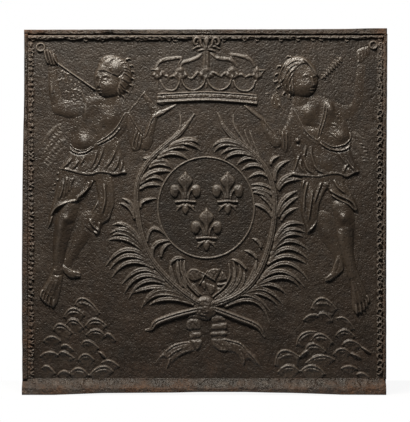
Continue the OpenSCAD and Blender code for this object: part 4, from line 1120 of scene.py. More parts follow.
def make_flowers():
    r = Relief(144, 56, 270, 98, 0.4)
    # the feet of the five flowers, which open into shallow cups
    cups = [
        ([
            [182.2, 80], [183.6, 84.4], [187.4, 88.4], [193.4, 90.2], [199.4, 88], [203.6, 83.6],
            [204.8, 79],
        ], [2.8, 3.2, 3.0, 1.2, 2.4, 3.2, 3.0]),
        ([
            [207.8, 79.6], [210, 85], [214.6, 88.6], [220, 90], [225.8, 88], [229.4, 84.4],
            [231, 80],
        ], [3.0, 3.6, 3.6, 1.4, 2.8, 3.4, 3.0]),
        ([
            [234, 81], [236, 86.6], [240.2, 90], [247.6, 90.8], [252.6, 87.4], [255.2, 81.4],
        ], [3.0, 3.6, 3.4, 2.2, 2.6, 2.4]),
        ([
            [160.4, 81], [164, 87.4], [169.6, 90.4], [175.6, 89], [178.8, 83], [179.6, 79],
        ], [1.4, 1.4, 1.2, 3.0, 3.2, 2.8]),
    ]
    for path, high in cups:
        r.stroke(path, 1.1, high, skew=0.3, power=0.6)
    for x, k in ((180.8, 1), (206.4, 1), (232.6, 1), (157.4, 0.7), (257.2, 0.7)):
        at = lambda p: [[x + q[0] * k, 79 + q[1]] for q in p]
        r.cushion(at([
            [0, -13], [-4.6, -10.4], [-6.6, -6.4], [-8.4, -3.4], [-5.6, -0.4], [-2.2, 1.4], [-2, 9],
            [2, 9], [2.2, 1.4], [5.6, -0.4], [8.4, -3.4], [6.6, -6.4], [4.6, -10.4],
        ]), 1.6, 2.6, crown=0.8)
        r.swelling([x, 79 - 9.6], 2.4 * k, 2.8, 1.4)
        for s in (-1, 1):
            r.swelling([x + 5.4 * k * s, 79 - 4.4], 2.2 * k, 1.9, 1.3)
            r.add(at([[s * 1.4, -1.6], [s * 2.8, -5], [s * 2.6, -8]]), 0.7, -0.9, ends=0.1)
        r.swelling([x, 79 - 1.8], 1.8 * k, 1.9, 1.6)
    # the far side of the rim, seen between the flowers, and the pointed ends
    back = [
        [[160.6, 77], [163, 72], [164.6, 76]], [[164.6, 76], [167.2, 76], [168.4, 79]],
        [[169.4, 77.4], [173.6, 76], [177.6, 79]],
        [[187.6, 77], [191.4, 78.6], [195, 75.6], [197.6, 72.6], [202, 75.4]],
        [[209.4, 74.6], [213, 72.4], [218, 74.8], [220.8, 76.6]],
        [[220.8, 76.6], [225.6, 73], [228.8, 76.4]], [[238, 76], [241.4, 74.4], [245.6, 77.4]],
        [[245.6, 77.4], [249.4, 75.4], [253.4, 75.6]],
    ]
    for b in back:
        r.stroke(b, [1.2, 1.9, 1.3], [1.6, 2.8, 1.6], power=0.8)
    for c in (
        [189, 82], [193.6, 80.8], [198.6, 81], [214, 79.6], [218.6, 80.4], [224.6, 79.6], [241, 80],
        [246.4, 80.4], [250.6, 79.6],
    ):
        r.swelling(c, 1.8, 1.2, -1.0)
    r.stroke(
        [[150.6, 69.4], [155.4, 69.8], [158.8, 73.4], [159.6, 77.4]], [0.6, 1.3, 1.3, 1.0],
        [1.6, 2.8, 2.8, 2.2],
    )
    r.stroke(
        [[265.4, 70], [260, 70.4], [255.4, 71.6], [256.6, 78]], [0.6, 1.2, 1.2, 1.0],
        [1.8, 3.0, 2.8, 2.2],
    )
    r.stroke([[264, 71.4], [260, 75.6], [256.4, 80.6]], 0.8, 1.8)
    r.worn(0.38)
    return r


def make_arches():
    r = Relief(146, 48, 268, 80, 0.4)
    arches = [
        [[155.4, 68.6], [158.6, 62.8], [164.4, 59.6], [172, 58.4], [181, 57.4]],
        [[180.4, 66], [183.4, 62.2], [190, 60.4], [197, 57.4], [202, 53.6]],
        [[211, 53.4], [215.6, 57], [222, 58.6], [229, 59.2], [234, 62.4], [236.8, 66]],
        [[231.6, 54.4], [239, 55.4], [246, 57.4], [251.4, 60.6], [254.6, 66]],
    ]
    for a in arches:
        r.stroke(a, [1.8, 2.3, 2.3, 1.8], [1.2, 1.8, 1.8, 1.4], skew=0.6, power=0.9)
        p = curve(a, 10)[0]
        for t in np.linspace(0.1, 0.9, 9):
            r.swelling(p[int(t * (len(p) - 1))], 1.0, 1.0, 0.4)
    for glint in (
        [[163.6, 58.8], [159.2, 62.8], [155.6, 68.4]], [[181.8, 59.2], [178.8, 63.4], [178.8, 67]],
        [[231, 57], [234, 61.8], [237, 65.4]], [[247, 55.6], [251.2, 59.8], [254.6, 64.6]],
    ):
        r.stroke(glint, 0.95, [1.8, 2.7, 2.0], power=0.6)
    r.stroke([[206, 50], [206, 58], [206, 68]], [3.8, 3.4, 3.8], [2.6, 2.2, 2.2], power=0.7)
    r.adds([[[204, 51], [204, 66]], [[208, 51], [208, 66]]], 0.6, 0.9)
    r.adds([
        [[202.4, 53], [202.6, 64]], [[206, 51], [206, 67]], [[209.8, 53], [209.6, 64]],
    ], 0.55, -0.9)
    r.worn(0.42)
    return r


def make_finial():
    r = Relief(190, 33, 224, 56, 0.34)
    r.pad([
        [206.4, 35.2], [203.6, 37.6], [203.4, 41.6], [204.8, 45.4], [204.6, 49], [208.4, 49],
        [208.4, 45.4], [209.6, 41.6], [209.4, 37.6],
    ], 4.8, 2.4, crown=0.8)
    for s in (-1, 1):
        at = lambda p: [[206.5 + s * q[0], q[1]] for q in p]
        r.stroke(
            at([
                [2.4, 48], [5.4, 44.6], [6.4, 40.6], [8.6, 38], [11.2, 38.8], [12.6, 42],
                [11, 44.8], [8.8, 43.6],
            ]),
            [1.6, 1.8, 1.8, 2.0, 2.0, 1.8, 1.4, 1.0], [3.2, 4.0, 5.0, 5.6, 5.6, 5.2, 4.2, 3.6],
            power=0.5, blend=0.6,
        )
        r.stroke(at([[3.4, 36.2], [5.6, 34.8]]), [1.3, 0.8], [4.8, 4])
        r.dome([206.5 + s * 8.6, 41.6], 1.5, 1.5, 4.2, power=0.5)
        r.stroke(
            at([[4.4, 47.4], [8.6, 46.6], [13, 49]]), [1.2, 1.5, 1.0], [2.6, 3.2, 2.2], power=0.6,
        )
    r.stroke([
        [198.6, 51], [202, 49.8], [206, 49.4], [211, 49.8], [214.6, 51],
    ], [1.3, 1.7, 1.9, 1.7, 1.3], [2.4, 3.2, 3.6, 3.2, 2.4], power=0.5)
    r.worn(0.34)
    return r


# Palms


def make_rib(side):
    r = Relief(126, 108, 222, 312, 0.45) if side == LEFT else Relief(192, 106, 284, 312, 0.45)
    beads = RIBS[side]
    r.stroke(
        beads, [b[2] * 1.3 for b in beads],
        [4.4, 4.8, 5, 5, 4.8, 4.6, 4.4, 4.2, 4.2, 4, 3.8, 3.2, 1.8], power=0.45,
    )
    grooves = ((-0.36, -1.4, 0.5), (0.36, -1.4, 0.5))
    ridges = ((0.0, 0.6, 0.55), (-0.72, 0.5, 0.5), (0.72, 0.5, 0.5))
    flutes(r, beads, grooves + ridges, [1.16 * b[2] for b in beads], ends=0.1)
    # loose fibres on the inner side, down to the knot
    if side == LEFT:
        fibres = [
            [[176.4, 262], [177, 274], [184, 286], [196, 297.6]],
            [[180.4, 259], [181.6, 272], [188, 284.4], [198.6, 295.6]],
            [[184.4, 264], [186.4, 276], [192, 286], [200, 294]],
        ]
    else:
        fibres = [
            [[238.6, 262], [240, 274], [232.6, 288], [217.6, 300]],
            [[232.6, 259], [235.4, 274], [228, 288], [215, 299]],
            [[229, 264], [230, 276], [223.6, 287.4], [213, 296.6]],
        ]
    r.strokes(fibres, [0.8, 1.2, 1.2, 1.2], [1.6, 3.0, 3.4, 3.8], power=0.5)
    r.worn(0.32)
    return r


# The outer leaves whose tips stand above this row are thin fibres
FIBRES_ABOVE = 131


def make_leaves(leaves, window, seed):
    r = Relief(*window, 0.45)
    chance = np.random.default_rng(seed)
    for s in leaves:
        long = math.hypot(s[2][0] - s[0][0], s[2][1] - s[0][1])
        w = (2.4 if long > 22 else 1.95) * chance.uniform(0.94, 1.08)
        high = chance.uniform(3.2, 4.1)
        if s[2][1] < FIBRES_ABOVE and leaves in OUTER_LEAVES:
            w, high = 1.15, 2.7
        leaf(r, s, w, high)
    for s in leaves:
        r.add(bend(*s), 0.5, -1.3, soft=1.5, ends=0.35, steps=1)
    r.worn(0.36)
    return r


def make_stalk(side):
    r = Relief(140, 302, 210, 336, 0.45) if side == LEFT else Relief(204, 302, 270, 342, 0.45)
    beads = STALKS[side]
    r.stroke(beads, [b[2] * 1.3 for b in beads], [4.4, 4.8, 4.6, 3.8, 2.0], power=0.45)
    flutes(
        r, beads, ((0.0, -1.9, 0.65), (-1.7, 0.7, 0.6), (1.5, 0.7, 0.6)), [1.0] * len(beads),
        ends=0.06,
    )
    r.worn(0.32)
    return r


# Ribbon


def make_knot():
    r = Relief(184, 286, 232, 324, 0.4)
    r.dome([205.4, 308.4], 12.6, 12.0, 5.8, power=0.55)
    r.dome([204.6, 302], 9, 6, 4.9, power=0.6, blend=1.5)
    for k in range(2):
        r.stroke([
            [187.4, 293 + 3 * k], [193.6, 298 + 2.2 * k], [200, 301.6 + 1.6 * k],
        ], 1.2, [3.6, 5.0, 5.6], power=0.5)
        r.stroke([
            [228, 294.6 + 3 * k], [220.6, 299.4 + 2 * k], [213, 302.4 + 1.4 * k],
        ], 1.2, [3.6, 5.0, 5.6], power=0.5)
    r.stroke([[197.4, 313.8], [199.6, 312.4], [201.6, 311]], 0.9, 4.6)
    r.adds([
        [[199, 315.6], [203.6, 316.6], [208, 318.6]], [[209.6, 305], [213, 309], [213.6, 314]],
    ], 0.9, -1.4)
    # the rough skin of the lump
    chance = np.random.default_rng(36)
    for _ in range(60):
        a, d = chance.uniform(0, 2 * math.pi), 10 * math.sqrt(chance.uniform(0, 1))
        sizes = chance.uniform(0.8, 1.5), chance.uniform(0.7, 1.3), chance.uniform(-1.2, 1.2)
        r.swelling([205.4 + d * math.cos(a), 307.6 + d * math.sin(a)], *sizes)
    r.worn(0.34, 1.0)
    return r


def make_bow():
    r = Relief(178, 262, 236, 298, 0.4)
    # flat folds of ribbon, each a low pad with a dark gap round it
    pads = [
        ([
            [203.6, 274.6], [199.6, 270], [195, 268.4], [190.4, 269], [187, 272.6], [186, 277.4],
            [190, 280], [195.4, 281.4], [200.6, 279.4], [203.4, 277],
        ], 2.6),
        ([
            [187, 282.4], [193.6, 283.6], [197, 287], [200.6, 292], [203, 296.4], [196, 293],
            [190, 287.6],
        ], 2.0),
        ([[200.6, 283], [204.4, 280.6], [206, 284], [205.6, 289.6], [202.4, 288]], 2.2),
        ([
            [205.6, 274.2], [209.4, 270], [214, 268.4], [219.4, 268.6], [220.6, 271], [218.4, 276],
            [215.6, 280], [211, 279.8], [207, 277.6],
        ], 2.8),
        ([
            [221.8, 271.4], [225, 274], [227.6, 278.6], [227, 280], [221.4, 281.2], [217.6, 281.6],
            [219.6, 276.4],
        ], 2.6),
        ([[217, 283.4], [222, 282.8], [227, 282], [226, 284.6], [221.6, 286], [217.4, 286]], 2.8),
        ([[217, 287.8], [221, 287.6], [223.6, 288], [221, 291], [217.4, 292.4]], 2.2),
        ([[206.6, 283.6], [212, 284.6], [215.6, 286], [215, 291], [211, 295], [207.4, 290]], 1.8),
    ]
    for outline, high in pads:
        r.pad(outline, 0.85 * high, 2.0, crown=0.5)
    r.strokes([
        [[199.6, 271.4], [205, 274], [210, 277.4], [215, 280.4]],
        [[207.6, 271], [204.6, 275], [202, 280], [199.2, 284]],
    ], 0.75, 3.6, power=0.6)
    ridges = [
        [[187.4, 273], [191, 269.8], [196, 269.4], [200.4, 271.6]],
        [[207.4, 273], [211, 270], [216, 269.4], [219.6, 270]],
        [[222, 272.4], [225, 275.4], [226.6, 279]],
    ]
    r.adds(ridges, 0.8, 1.0, ends=0.15)
    creases = [
        [[192, 272], [193.6, 276], [197, 280]], [[196, 271], [198, 275], [200.6, 277.6]],
        [[211, 272.6], [213.6, 275.6], [213.4, 279]], [[216.6, 270.6], [215.6, 274], [213, 277]],
        [[223, 274.6], [222, 278], [219.6, 281]],
    ]
    r.adds(creases, 0.6, -0.7)
    r.worn(0.38, 1.2)
    return r


def make_tail(side):
    r = Relief(146, 308, 210, 378, 0.45) if side == LEFT else Relief(204, 308, 268, 374, 0.45)
    # the ribbon hangs in flat folds, then blows out to its end
    if side == LEFT:
        pads = [
            ([[190, 314.6], [199.6, 315.6], [201, 319.4], [193.6, 317.6], [188, 319]], 2.2),
            ([
                [187.4, 320.6], [193.6, 319], [199.4, 321], [201, 328.6], [194, 329.6],
                [188.6, 330.4], [186, 326],
            ], 3.0),
            ([
                [191, 333.2], [196, 332.2], [201, 332.2], [201.4, 337], [195.6, 338.2],
                [189.4, 338.6],
            ], 2.6),
            ([
                [191, 340.6], [196, 339.8], [202.4, 340], [201.4, 345], [197, 350.4], [193.6, 346],
            ], 3.0),
        ]
        end = [
            [191, 341], [184, 341.6], [176, 343], [169, 346.5], [162, 353.5], [158, 358],
            [154, 365], [162.5, 357], [166.5, 362], [165.5, 371], [171, 364.5], [179, 357.5],
            [184, 354], [192, 351.8], [195.4, 350], [192.4, 345],
        ]
        ridges = [
            [[190, 341.9], [181, 343], [172.4, 346.4], [164, 353]],
            [[184, 347.6], [174, 352], [167, 358.6]], [[170, 357.6], [168.6, 363], [166.6, 368.4]],
            [[192, 350.4], [184, 352.6], [177, 356.6]],
        ]
        lines = [
            [[191.4, 321], [195.6, 325.4], [200, 329]], [[188.6, 322.6], [190.6, 326], [190, 329.4]]
        ]
    else:
        pads = [
            ([[211.6, 317], [221, 315.8], [226, 320.4], [218, 322], [212, 322.4]], 2.2),
            ([
                [212.4, 324.6], [219, 323.8], [226.4, 322.8], [227.6, 326], [226, 329.4],
                [219, 329.8], [212.6, 330], [211, 327.4],
            ], 2.8),
            ([
                [211, 332.2], [219, 331.6], [226.6, 331.4], [226.2, 335.2], [219, 336.2], [211, 336]
            ], 2.6),
        ]
        end = [
            [211.4, 338.6], [218, 338.2], [226, 338], [234, 340], [241, 342], [248, 349],
            [256, 356], [261.5, 368], [254.5, 364], [249, 359.5], [246, 362], [243, 367.5],
            [238, 357], [232, 352.4], [219, 351], [212, 346],
        ]
        ridges = [
            [[222, 338.8], [233, 341.2], [241, 344], [248, 350.6]],
            [[247, 351], [254, 358], [260, 366]], [[240, 352], [243.6, 357.6], [244.4, 364]],
            [[218, 349.8], [226, 350.6], [234, 353.4]],
        ]
        lines = [[[213, 341.6], [218, 344], [222, 348]], [[226, 341.4], [231, 345], [234, 350]]]
    r.cushion(end, 1.8, 2.0, crown=0.5, smooth=3)
    folds(r, ridges, 0.85, 1.4, -1.1)
    strip = [[195, 316], [195, 328], [196.4, 343]]
    if side == RIGHT:
        strip = [[218, 318], [219, 328], [219, 341]]
    r.stroke(strip, 6.4, 1.1, power=0.4)
    for outline, high in pads:
        r.pad(outline, 0.85 * high, 2.0, crown=0.3, smooth=3)
    r.adds(lines, 0.6, -1.0)
    r.worn(0.38, 1.1)
    return r


# Figures


def skull(r, side):
    """The round of the head, which face and hair share."""
    m = lambda x, y: mirrored([x, y], side)
    s = 1 if side == LEFT else -1
    r.dome(m(112.6, 77.4), 18.2, 21.4, 6.4, turn=24 * s, power=0.62)
    r.dome(m(104, 81.6), 9.8, 16, 7.0, turn=-8 * s, power=0.5, blend=2.5)
    r.dome(m(108.6, 86.4), 11.4, 11.6, 7.4, turn=24 * s, power=0.5, blend=2.5)


def make_head(side):
    x0, x1 = (84, 138) if side == LEFT else (MIRROR - 138, MIRROR - 84)
    r = Relief(x0, 54, x1, 108, 0.34)
    m = lambda p: mirrored(p, side)
    ms = lambda *p: [mirrored(q, side) for q in p]
    skull(r, side)
    # neck
    r.stroke(ms([110, 88], [110.6, 97], [110, 105]), [8.5, 8.5, 10], [2.6, 2.2, 1.8], power=0.9)
    # the face: brow, eyes, nose, cheeks, mouth and chin in even thirds
    r.swelling(m([97.7, 80]), 2.5, 1.9, -1.5)
    r.swelling(m([105.6, 79.8]), 3.4, 2.1, -1.5)
    r.adds([
        ms([94.6, 77.6], [97.2, 76.3], [99.8, 77.4]), ms([102, 77.2], [106, 75.6], [110.6, 77.8]),
    ], 0.95, 0.9, ends=0.3)
    r.swelling(m([97.9, 80.3]), 1.5, 1.1, 1.1)
    r.swelling(m([105.5, 80.1]), 2.1, 1.2, 1.3)
    r.adds([
        ms([96.2, 81.0], [97.9, 81.7], [99.4, 81.0]), ms([103.2, 81.0], [105.6, 81.9], [108, 80.9]),
    ], 0.5, -0.8, ends=0.2)
    r.add(
        ms([100.6, 77], [99.8, 80], [98.6, 84], [97.8, 86.6]), [1.2, 1.3, 1.7, 1.9], 1.7, ends=0.12,
    )
    r.swelling(m([97.9, 86.4]), 1.8, 1.4, 0.9)
    r.swelling(m([100.6, 87.1]), 1.2, 1.0, 0.6)
    r.add(ms([96.2, 88.3], [98.6, 88.7], [101, 88.3]), 0.6, -1.0)
    r.swelling(m([108, 87]), 4.6, 4.0, 1.0)
    r.add(ms([96.6, 90.6], [98.6, 89.9], [100, 90.2], [102.8, 90.9]), 0.7, 0.9, ends=0.2)
    r.add(ms([96.4, 91.6], [99, 91.5], [103.4, 91.7]), 0.55, -1.2, ends=0.2)
    r.add(ms([97.2, 92.8], [99.4, 93.2], [102.2, 92.7]), 0.8, 0.9, ends=0.25)
    r.swelling(m([99.8, 94.8]), 2.4, 0.9, -0.7)
    r.swelling(m([100.2, 96.8]), 3.0, 1.9, 0.9)
    r.worn(0.3, 0.12)
    return r


def make_hair(side):
    x0, x1 = (88, 144) if side == LEFT else (268, MIRROR - 88)
    r = Relief(x0, 50, x1, 106, 0.34)
    if side == LEFT:
        cap = [
            [97.6, 71], [98.4, 63.6], [102.4, 57.4], [109, 55], [117, 55.8], [124, 59.4],
            [129.4, 65], [132, 72], [131.8, 80], [129.4, 88], [124.8, 94], [119.6, 97], [117, 92],
            [117.6, 86], [119.4, 80.6], [116.4, 76.6], [110, 74], [104.6, 71.6],
        ]
        strands = [
            [[116, 59.6], [121, 57.4], [126.6, 60.4]], [[121.4, 64.6], [125.4, 62.6], [130.4, 66]],
            [[123.4, 68.8], [127.6, 68.4], [132.4, 73]], [[123, 73.8], [127, 74.6], [132, 79.4]],
            [[121, 78.4], [125.6, 81], [130.4, 86]], [[119.8, 82.6], [123, 86], [127, 91.4]],
            [[118.6, 86.6], [120.6, 90.6], [123.4, 95.4]],
            [[117.8, 90], [118.2, 93.4], [119.4, 97.6]], [[125, 78.4], [128, 81.6], [131.4, 83.4]],
            [[121.8, 89], [124.6, 90.6], [127.4, 93.4]], [[119, 62.6], [123.6, 60.4], [128.8, 63]],
            [[123.6, 71.2], [128, 71.4], [132.4, 76]],
        ]
        forms = [
            ([105.4, 61.4], 4.4, 4.8, 2.0, 20), ([102, 67.6], 3.0, 3.2, 1.2, 0),
            ([116, 67.8], 5.4, 6.2, 2.2, 22), ([112.6, 58.4], 3.4, 2.2, 1.0, 0),
            ([123, 81], 3, 4, 0.8, 30), ([105.4, 59.2], 0.9, 0.8, -1.2, 0),
            ([100.6, 62.6], 1.2, 1.6, -0.7, 30),
        ]
        lines = [
            [[109.4, 73.6], [114, 76.8], [120, 76], [123.4, 71.6]],
            [[110.4, 64.6], [111.8, 61], [115.4, 59.4]], [[109.6, 68.6], [110.6, 72], [113, 73.6]],
        ]
        edge = [
            [[126, 59.6], [129, 58.6], [131, 59.6]], [[130, 65.6], [132.6, 65.4], [134, 67.6]],
            [[131.6, 71.4], [134, 72], [134.8, 74.6]], [[131.4, 78], [134, 79], [133.8, 82]],
            [[129.8, 84.6], [132.4, 86], [131.8, 89]], [[126.4, 91], [129, 93], [128, 95.6]],
            [[122, 95], [124.6, 98], [124, 101]], [[118, 96.6], [119.4, 99.6], [118, 101]],
        ]
    else:
        cap = [
            [319.4, 76.8], [314.6, 69], [309.4, 61.4], [303.4, 56.6], [296, 56.4], [288.6, 60.4],
            [282, 67], [278.6, 75], [278, 82], [281.6, 87], [285.6, 92.6], [290, 96], [294, 95],
            [295, 90], [293.4, 84], [293.6, 77], [296, 70.4], [300.4, 65.4], [305.4, 64.4],
            [310.4, 69.4], [315, 75.4],
        ]
        strands = [
            [[298.6, 60.4], [290, 63.4], [283, 70.6]], [[298.4, 64], [290.6, 67.4], [284.6, 77]],
            [[294.6, 69.4], [289.6, 74], [286.6, 82]], [[293.4, 58.2], [285.4, 63], [280, 72.6]],
            [[293, 74], [289.8, 79], [288.4, 86]], [[286, 84], [285.4, 88], [288, 92.4]],
            [[291, 84.6], [289.6, 89], [291.4, 94.4]], [[284.6, 77.6], [281.6, 81], [279.4, 83.4]],
            [[293.6, 86], [292.4, 90], [293.6, 93.6]], [[288, 62.6], [281.6, 69.6], [279.4, 79.6]],
            [[303.6, 59], [308.6, 64], [313.4, 70]],
        ]
        forms = [
            ([304.6, 61], 4.0, 2.6, 1.6, 30), ([288, 67], 5, 5.4, 1.4, -30),
            ([283, 79], 3, 4.4, 1.0, 0), ([289.6, 90.6], 3.2, 2.4, 1.2, 0),
        ]
        lines = [[[299.4, 65.6], [295.6, 70], [293.8, 76]]]
        edge = [
            [[281, 66], [278, 66.4], [276.6, 69]], [[277.6, 73.6], [275, 75], [274.6, 77.6]],
            [[277, 81], [274.4, 82], [273.6, 80]], [[279.4, 86.4], [276.6, 88.4], [277.4, 91]],
            [[284.4, 92.6], [282.6, 95.4], [284.6, 97.4]],
            [[289.6, 95.4], [289.4, 98], [291.4, 99]], [[292, 57.4], [288.6, 56.2], [286, 58]],
        ]
    r.pad(cap, 1.2, 1.4)
    # the hair follows the head, a little above it
    head = Relief(x0, 50, x1, 106, 0.34)
    skull(head, side)
    cover = np.clip(r.h, 0, 1)
    r.h = np.where(r.h > 0, np.maximum(r.h, (head.h + 1.7) * cover), r.h)
    r.swellings(forms)
    for s in strands:
        fold(r, bend(*s), 0.9, *((1.0, -0.75) if side == LEFT else (1.7, -1.2)), ends=0.3)
    for s in edge:
        r.stroke(s, [1.3, 1.1, 0.6], [2.8, 2.4, 1.2], power=0.6)
    if side == RIGHT:
        r.add([[303, 58.4], [308.4, 63.6], [313.4, 69.6], [318.8, 76.2]], 1.2, 2.2, ends=0.1)
    r.adds(lines, 0.8, -1.5, ends=0.1)
    r.worn(0.3, 0.2)
    return r


def make_chest(side):
    r = Relief(52, 88, 138, 162, 0.45) if side == LEFT else Relief(278, 88, 364, 162, 0.45)
    body(r, side)
    if side == RIGHT:
        folds(r, [
            [[331, 124], [337, 125.4], [340.4, 131]], [[328.6, 131.6], [333.4, 135], [337.6, 139]],
            [[339, 113], [342.4, 118], [344.6, 124]],
        ], 0.8, 1.2, -0.9)
    else:
        r.adds([[[84, 86], [79, 91], [76, 98]]], 1.0, 0.9)
    r.worn(0.45, 0.15)
    return r


# How much stronger the forms of the body are made than they are painted
BODY_SCALE = 1.25


def body(r, side):
    """The soft forms of neck, shoulders and chest, which the tunic follows."""
    if side == LEFT:
        r.cushion([
            [84, 97], [100, 93], [121, 95], [131, 108], [130, 122], [122, 136], [110, 146],
            [96, 154], [84, 157], [75, 155], [69, 148], [66.5, 138], [67.5, 125], [71, 116],
            [79, 110],
        ], 1.6, 9, crown=0.7)
        forms = [
            ([85, 111.6], 1.7, 7.4, 1.5, 0), ([108.6, 118.6], 7.4, 8, 1.6, 0),
            ([97, 115], 3.2, 8, -0.8, 0), ([84.2, 142.6], 5.8, 7.2, 3.4, 0),
            ([93.6, 132], 2.4, 5, -0.7, 0), ([74.4, 135], 3.2, 8, -0.7, 0),
            ([103.8, 127.6], 1.5, 1.3, -1.0, 0), ([103, 103.4], 9, 3.2, -0.6, 0),
        ]
    else:
        r.cushion([
            [291, 107], [300, 96], [318, 95], [331, 100], [338.6, 110], [349, 126], [353, 140],
            [350, 150], [340, 156], [326, 154], [312, 148], [300, 138], [293, 126],
        ], 1.6, 9, crown=0.7)
        forms = [
            ([331, 108], 4.6, 7.4, 3.2, 0), ([309, 113], 6, 7, 2.4, 0),
            ([319.6, 112], 2.4, 8, -0.9, 0), ([310, 126.4], 7, 2.4, -1.2, 10),
            ([341, 136], 6, 6, 2.3, 0), ([330, 127.6], 3, 4.6, -0.8, 0),
            ([304, 103], 9, 3.4, -0.6, 0),
        ]
        for k, y in enumerate((103, 106, 109.4, 113, 116.6)):
            forms.append(([336.6 + 0.4 * k, y], 1.5, 1.1, 1.2, 0))
    r.swellings(forms, BODY_SCALE)


def make_tunic(side):
    r = Relief(52, 104, 136, 184, 0.4) if side == LEFT else Relief(278, 96, 366, 186, 0.4)
    if side == LEFT:
        cloth = [
            [126.4, 111], [123.4, 112], [115.6, 125.2], [106.4, 134], [95, 141.6], [88, 147],
            [81, 149], [74.6, 147.2], [70.6, 142.4], [68.4, 144], [68, 150], [66, 158], [58, 171],
            [70, 177], [92, 180], [110, 179], [127.6, 178], [125.4, 165], [121.8, 153],
            [120.6, 144.4], [125.6, 132], [129.6, 122], [131, 112],
        ]
        hem = [
            [50, 168], [58.5, 169.4], [63.8, 170], [71.7, 172], [80, 174.3], [86, 175.2],
            [91.7, 175], [97, 173.4], [101.7, 172.9], [108, 173.8], [113, 175], [117.6, 175],
            [121, 173.6], [130, 173.2], [138, 173],
        ]
        cords = [
            [[124.6, 113], [117, 126.6], [108, 135.4], [95, 143.2]],
            [[120.4, 128], [112, 136.8], [97, 145]],
            [[93.6, 143.6], [88.4, 148.2], [81, 150.4], [74.2, 148.4], [70.2, 143.8]],
            [[93, 147.2], [85.4, 152.4], [77, 153.2], [69.6, 149.2]],
        ]
        creases = [
            [[103.8, 145.6], [100.4, 157], [96, 166], [91.6, 170.4]],
            [[116.4, 148], [111, 160], [104, 169.4]], [[118.8, 156.6], [117, 165], [112.6, 171.8]],
            [[122, 160], [121.4, 167], [119, 172.4]], [[97, 149.6], [94.4, 160], [89.6, 169.4]],
            [[84, 156.4], [82.4, 161], [79.6, 165]], [[72, 157.6], [67.4, 163.6], [61.4, 168]],
            [[77.6, 160], [75.4, 165.4], [72, 169]],
        ]
        hollows = [
            ([119.6, 137.4], 7.6, 3.4, -1.3, -42), ([108, 158], 3.4, 8, -0.7, 24),
            ([88, 162], 3, 6, -0.6, 24),
        ]
    else:
        cloth = [
            [290.6, 109], [293.4, 107.4], [298, 113], [303.2, 124.6], [310.6, 134.4],
            [316.6, 138.2], [316.6, 131], [320.6, 118.6], [324, 101.6], [329.4, 102.6],
            [327.2, 118], [323, 132.6], [321.4, 138], [332.5, 144.8], [343.4, 142.8], [348.8, 138],
            [348.8, 131.2], [351.6, 132.4], [353.2, 141], [351.6, 147], [353.6, 158], [360.6, 171],
            [358, 178], [346, 181], [326, 181], [306, 180], [290, 178], [294.5, 162], [290.6, 146],
            [288.6, 128],
        ]
        hem = [
            [280, 172.6], [290, 174], [293.8, 175], [301, 176.4], [310, 177], [317.5, 177.5],
            [323, 176.6], [330, 175], [335, 174.4], [340, 175], [344, 176.6], [347.5, 177.2],
            [352, 175], [357.5, 172.6], [368, 171],
        ]
        cords = [
            [[294.2, 108.8], [300, 121], [307.5, 132.7], [318.4, 141.2]],
            [[297.8, 113.8], [302.6, 125], [310, 135.2], [317.4, 139.6]],
            [[325.2, 102.6], [322.4, 117.5], [318.8, 130], [317.4, 138.6]],
            [[328.2, 103.4], [325.6, 118], [321.8, 130], [319.8, 139.4]],
            [[320, 143], [327.5, 148], [337.5, 150.8], [346, 149.2], [351.4, 145]],
            [[321.6, 140.2], [332.5, 146.4], [344, 144.6], [350.4, 138.8], [350, 132.4]],
        ]
        creases = [
            [[301, 152.6], [297.6, 160], [295.6, 166], [292, 173]],
            [[303.8, 156], [306, 164], [308.8, 170], [317, 175.4]],
            [[300.4, 159], [301, 167], [304.6, 173]], [[313, 163], [318, 170], [326, 174]],
            [[338.8, 152.6], [344, 160], [350, 167.6]],
            [[342.6, 152.6], [347, 160], [352.6, 167.4], [357.4, 171]],
            [[349.4, 163], [345.4, 168], [343.4, 173.6]], [[352.4, 166], [354, 170], [355.6, 173]],
            [[306.6, 145], [305, 153], [303.6, 158]], [[311, 146], [312, 156], [316, 168]],
            [[287.8, 131], [288.8, 142], [288, 154]],
        ]
        hollows = [
            ([326, 161], 7, 7, 0.7, 0), ([303.6, 165], 2, 5, -0.6, 0),
            ([345, 158], 2, 5, -0.8, -34), ([297.8, 144.2], 2.2, 1.1, -1.1, 0),
        ]
    r.cushion(cloth, 1.3, 3.4, crown=0.6)
    # the cloth lies on the chest, and swings out towards its hem
    under = Relief(r.cols[0], r.rows[0], r.cols[-1], r.rows[-1], r.step)
    body(under, side)
    cover = np.clip(r.h / 0.8, 0, 1)
    below = under.h[: r.h.shape[0], : r.h.shape[1]] + 0.5
    r.h = np.where(r.h > 0, np.maximum(r.h, below * cover), r.h)
    r.h = r.h + 1.4 * np.clip((r.Y - 150) / 20, 0, 1) * np.clip(r.h / 1.2, 0, 1)
    r.swellings(hollows)
    r.trim(hem, 0.8, 1.2)
    folds(r, cords, 0.85, 2.0 if side == LEFT else 2.6, -1.4, ends=0.06)
    folds(r, creases, 1.35, 2.0, -0.9, ends=0.3)
    if side == RIGHT:
        r.dome([297.8, 140.6], 2.4, 2.3, 5.0, power=0.5)
    r.worn(0.4, 0.22)
    return r


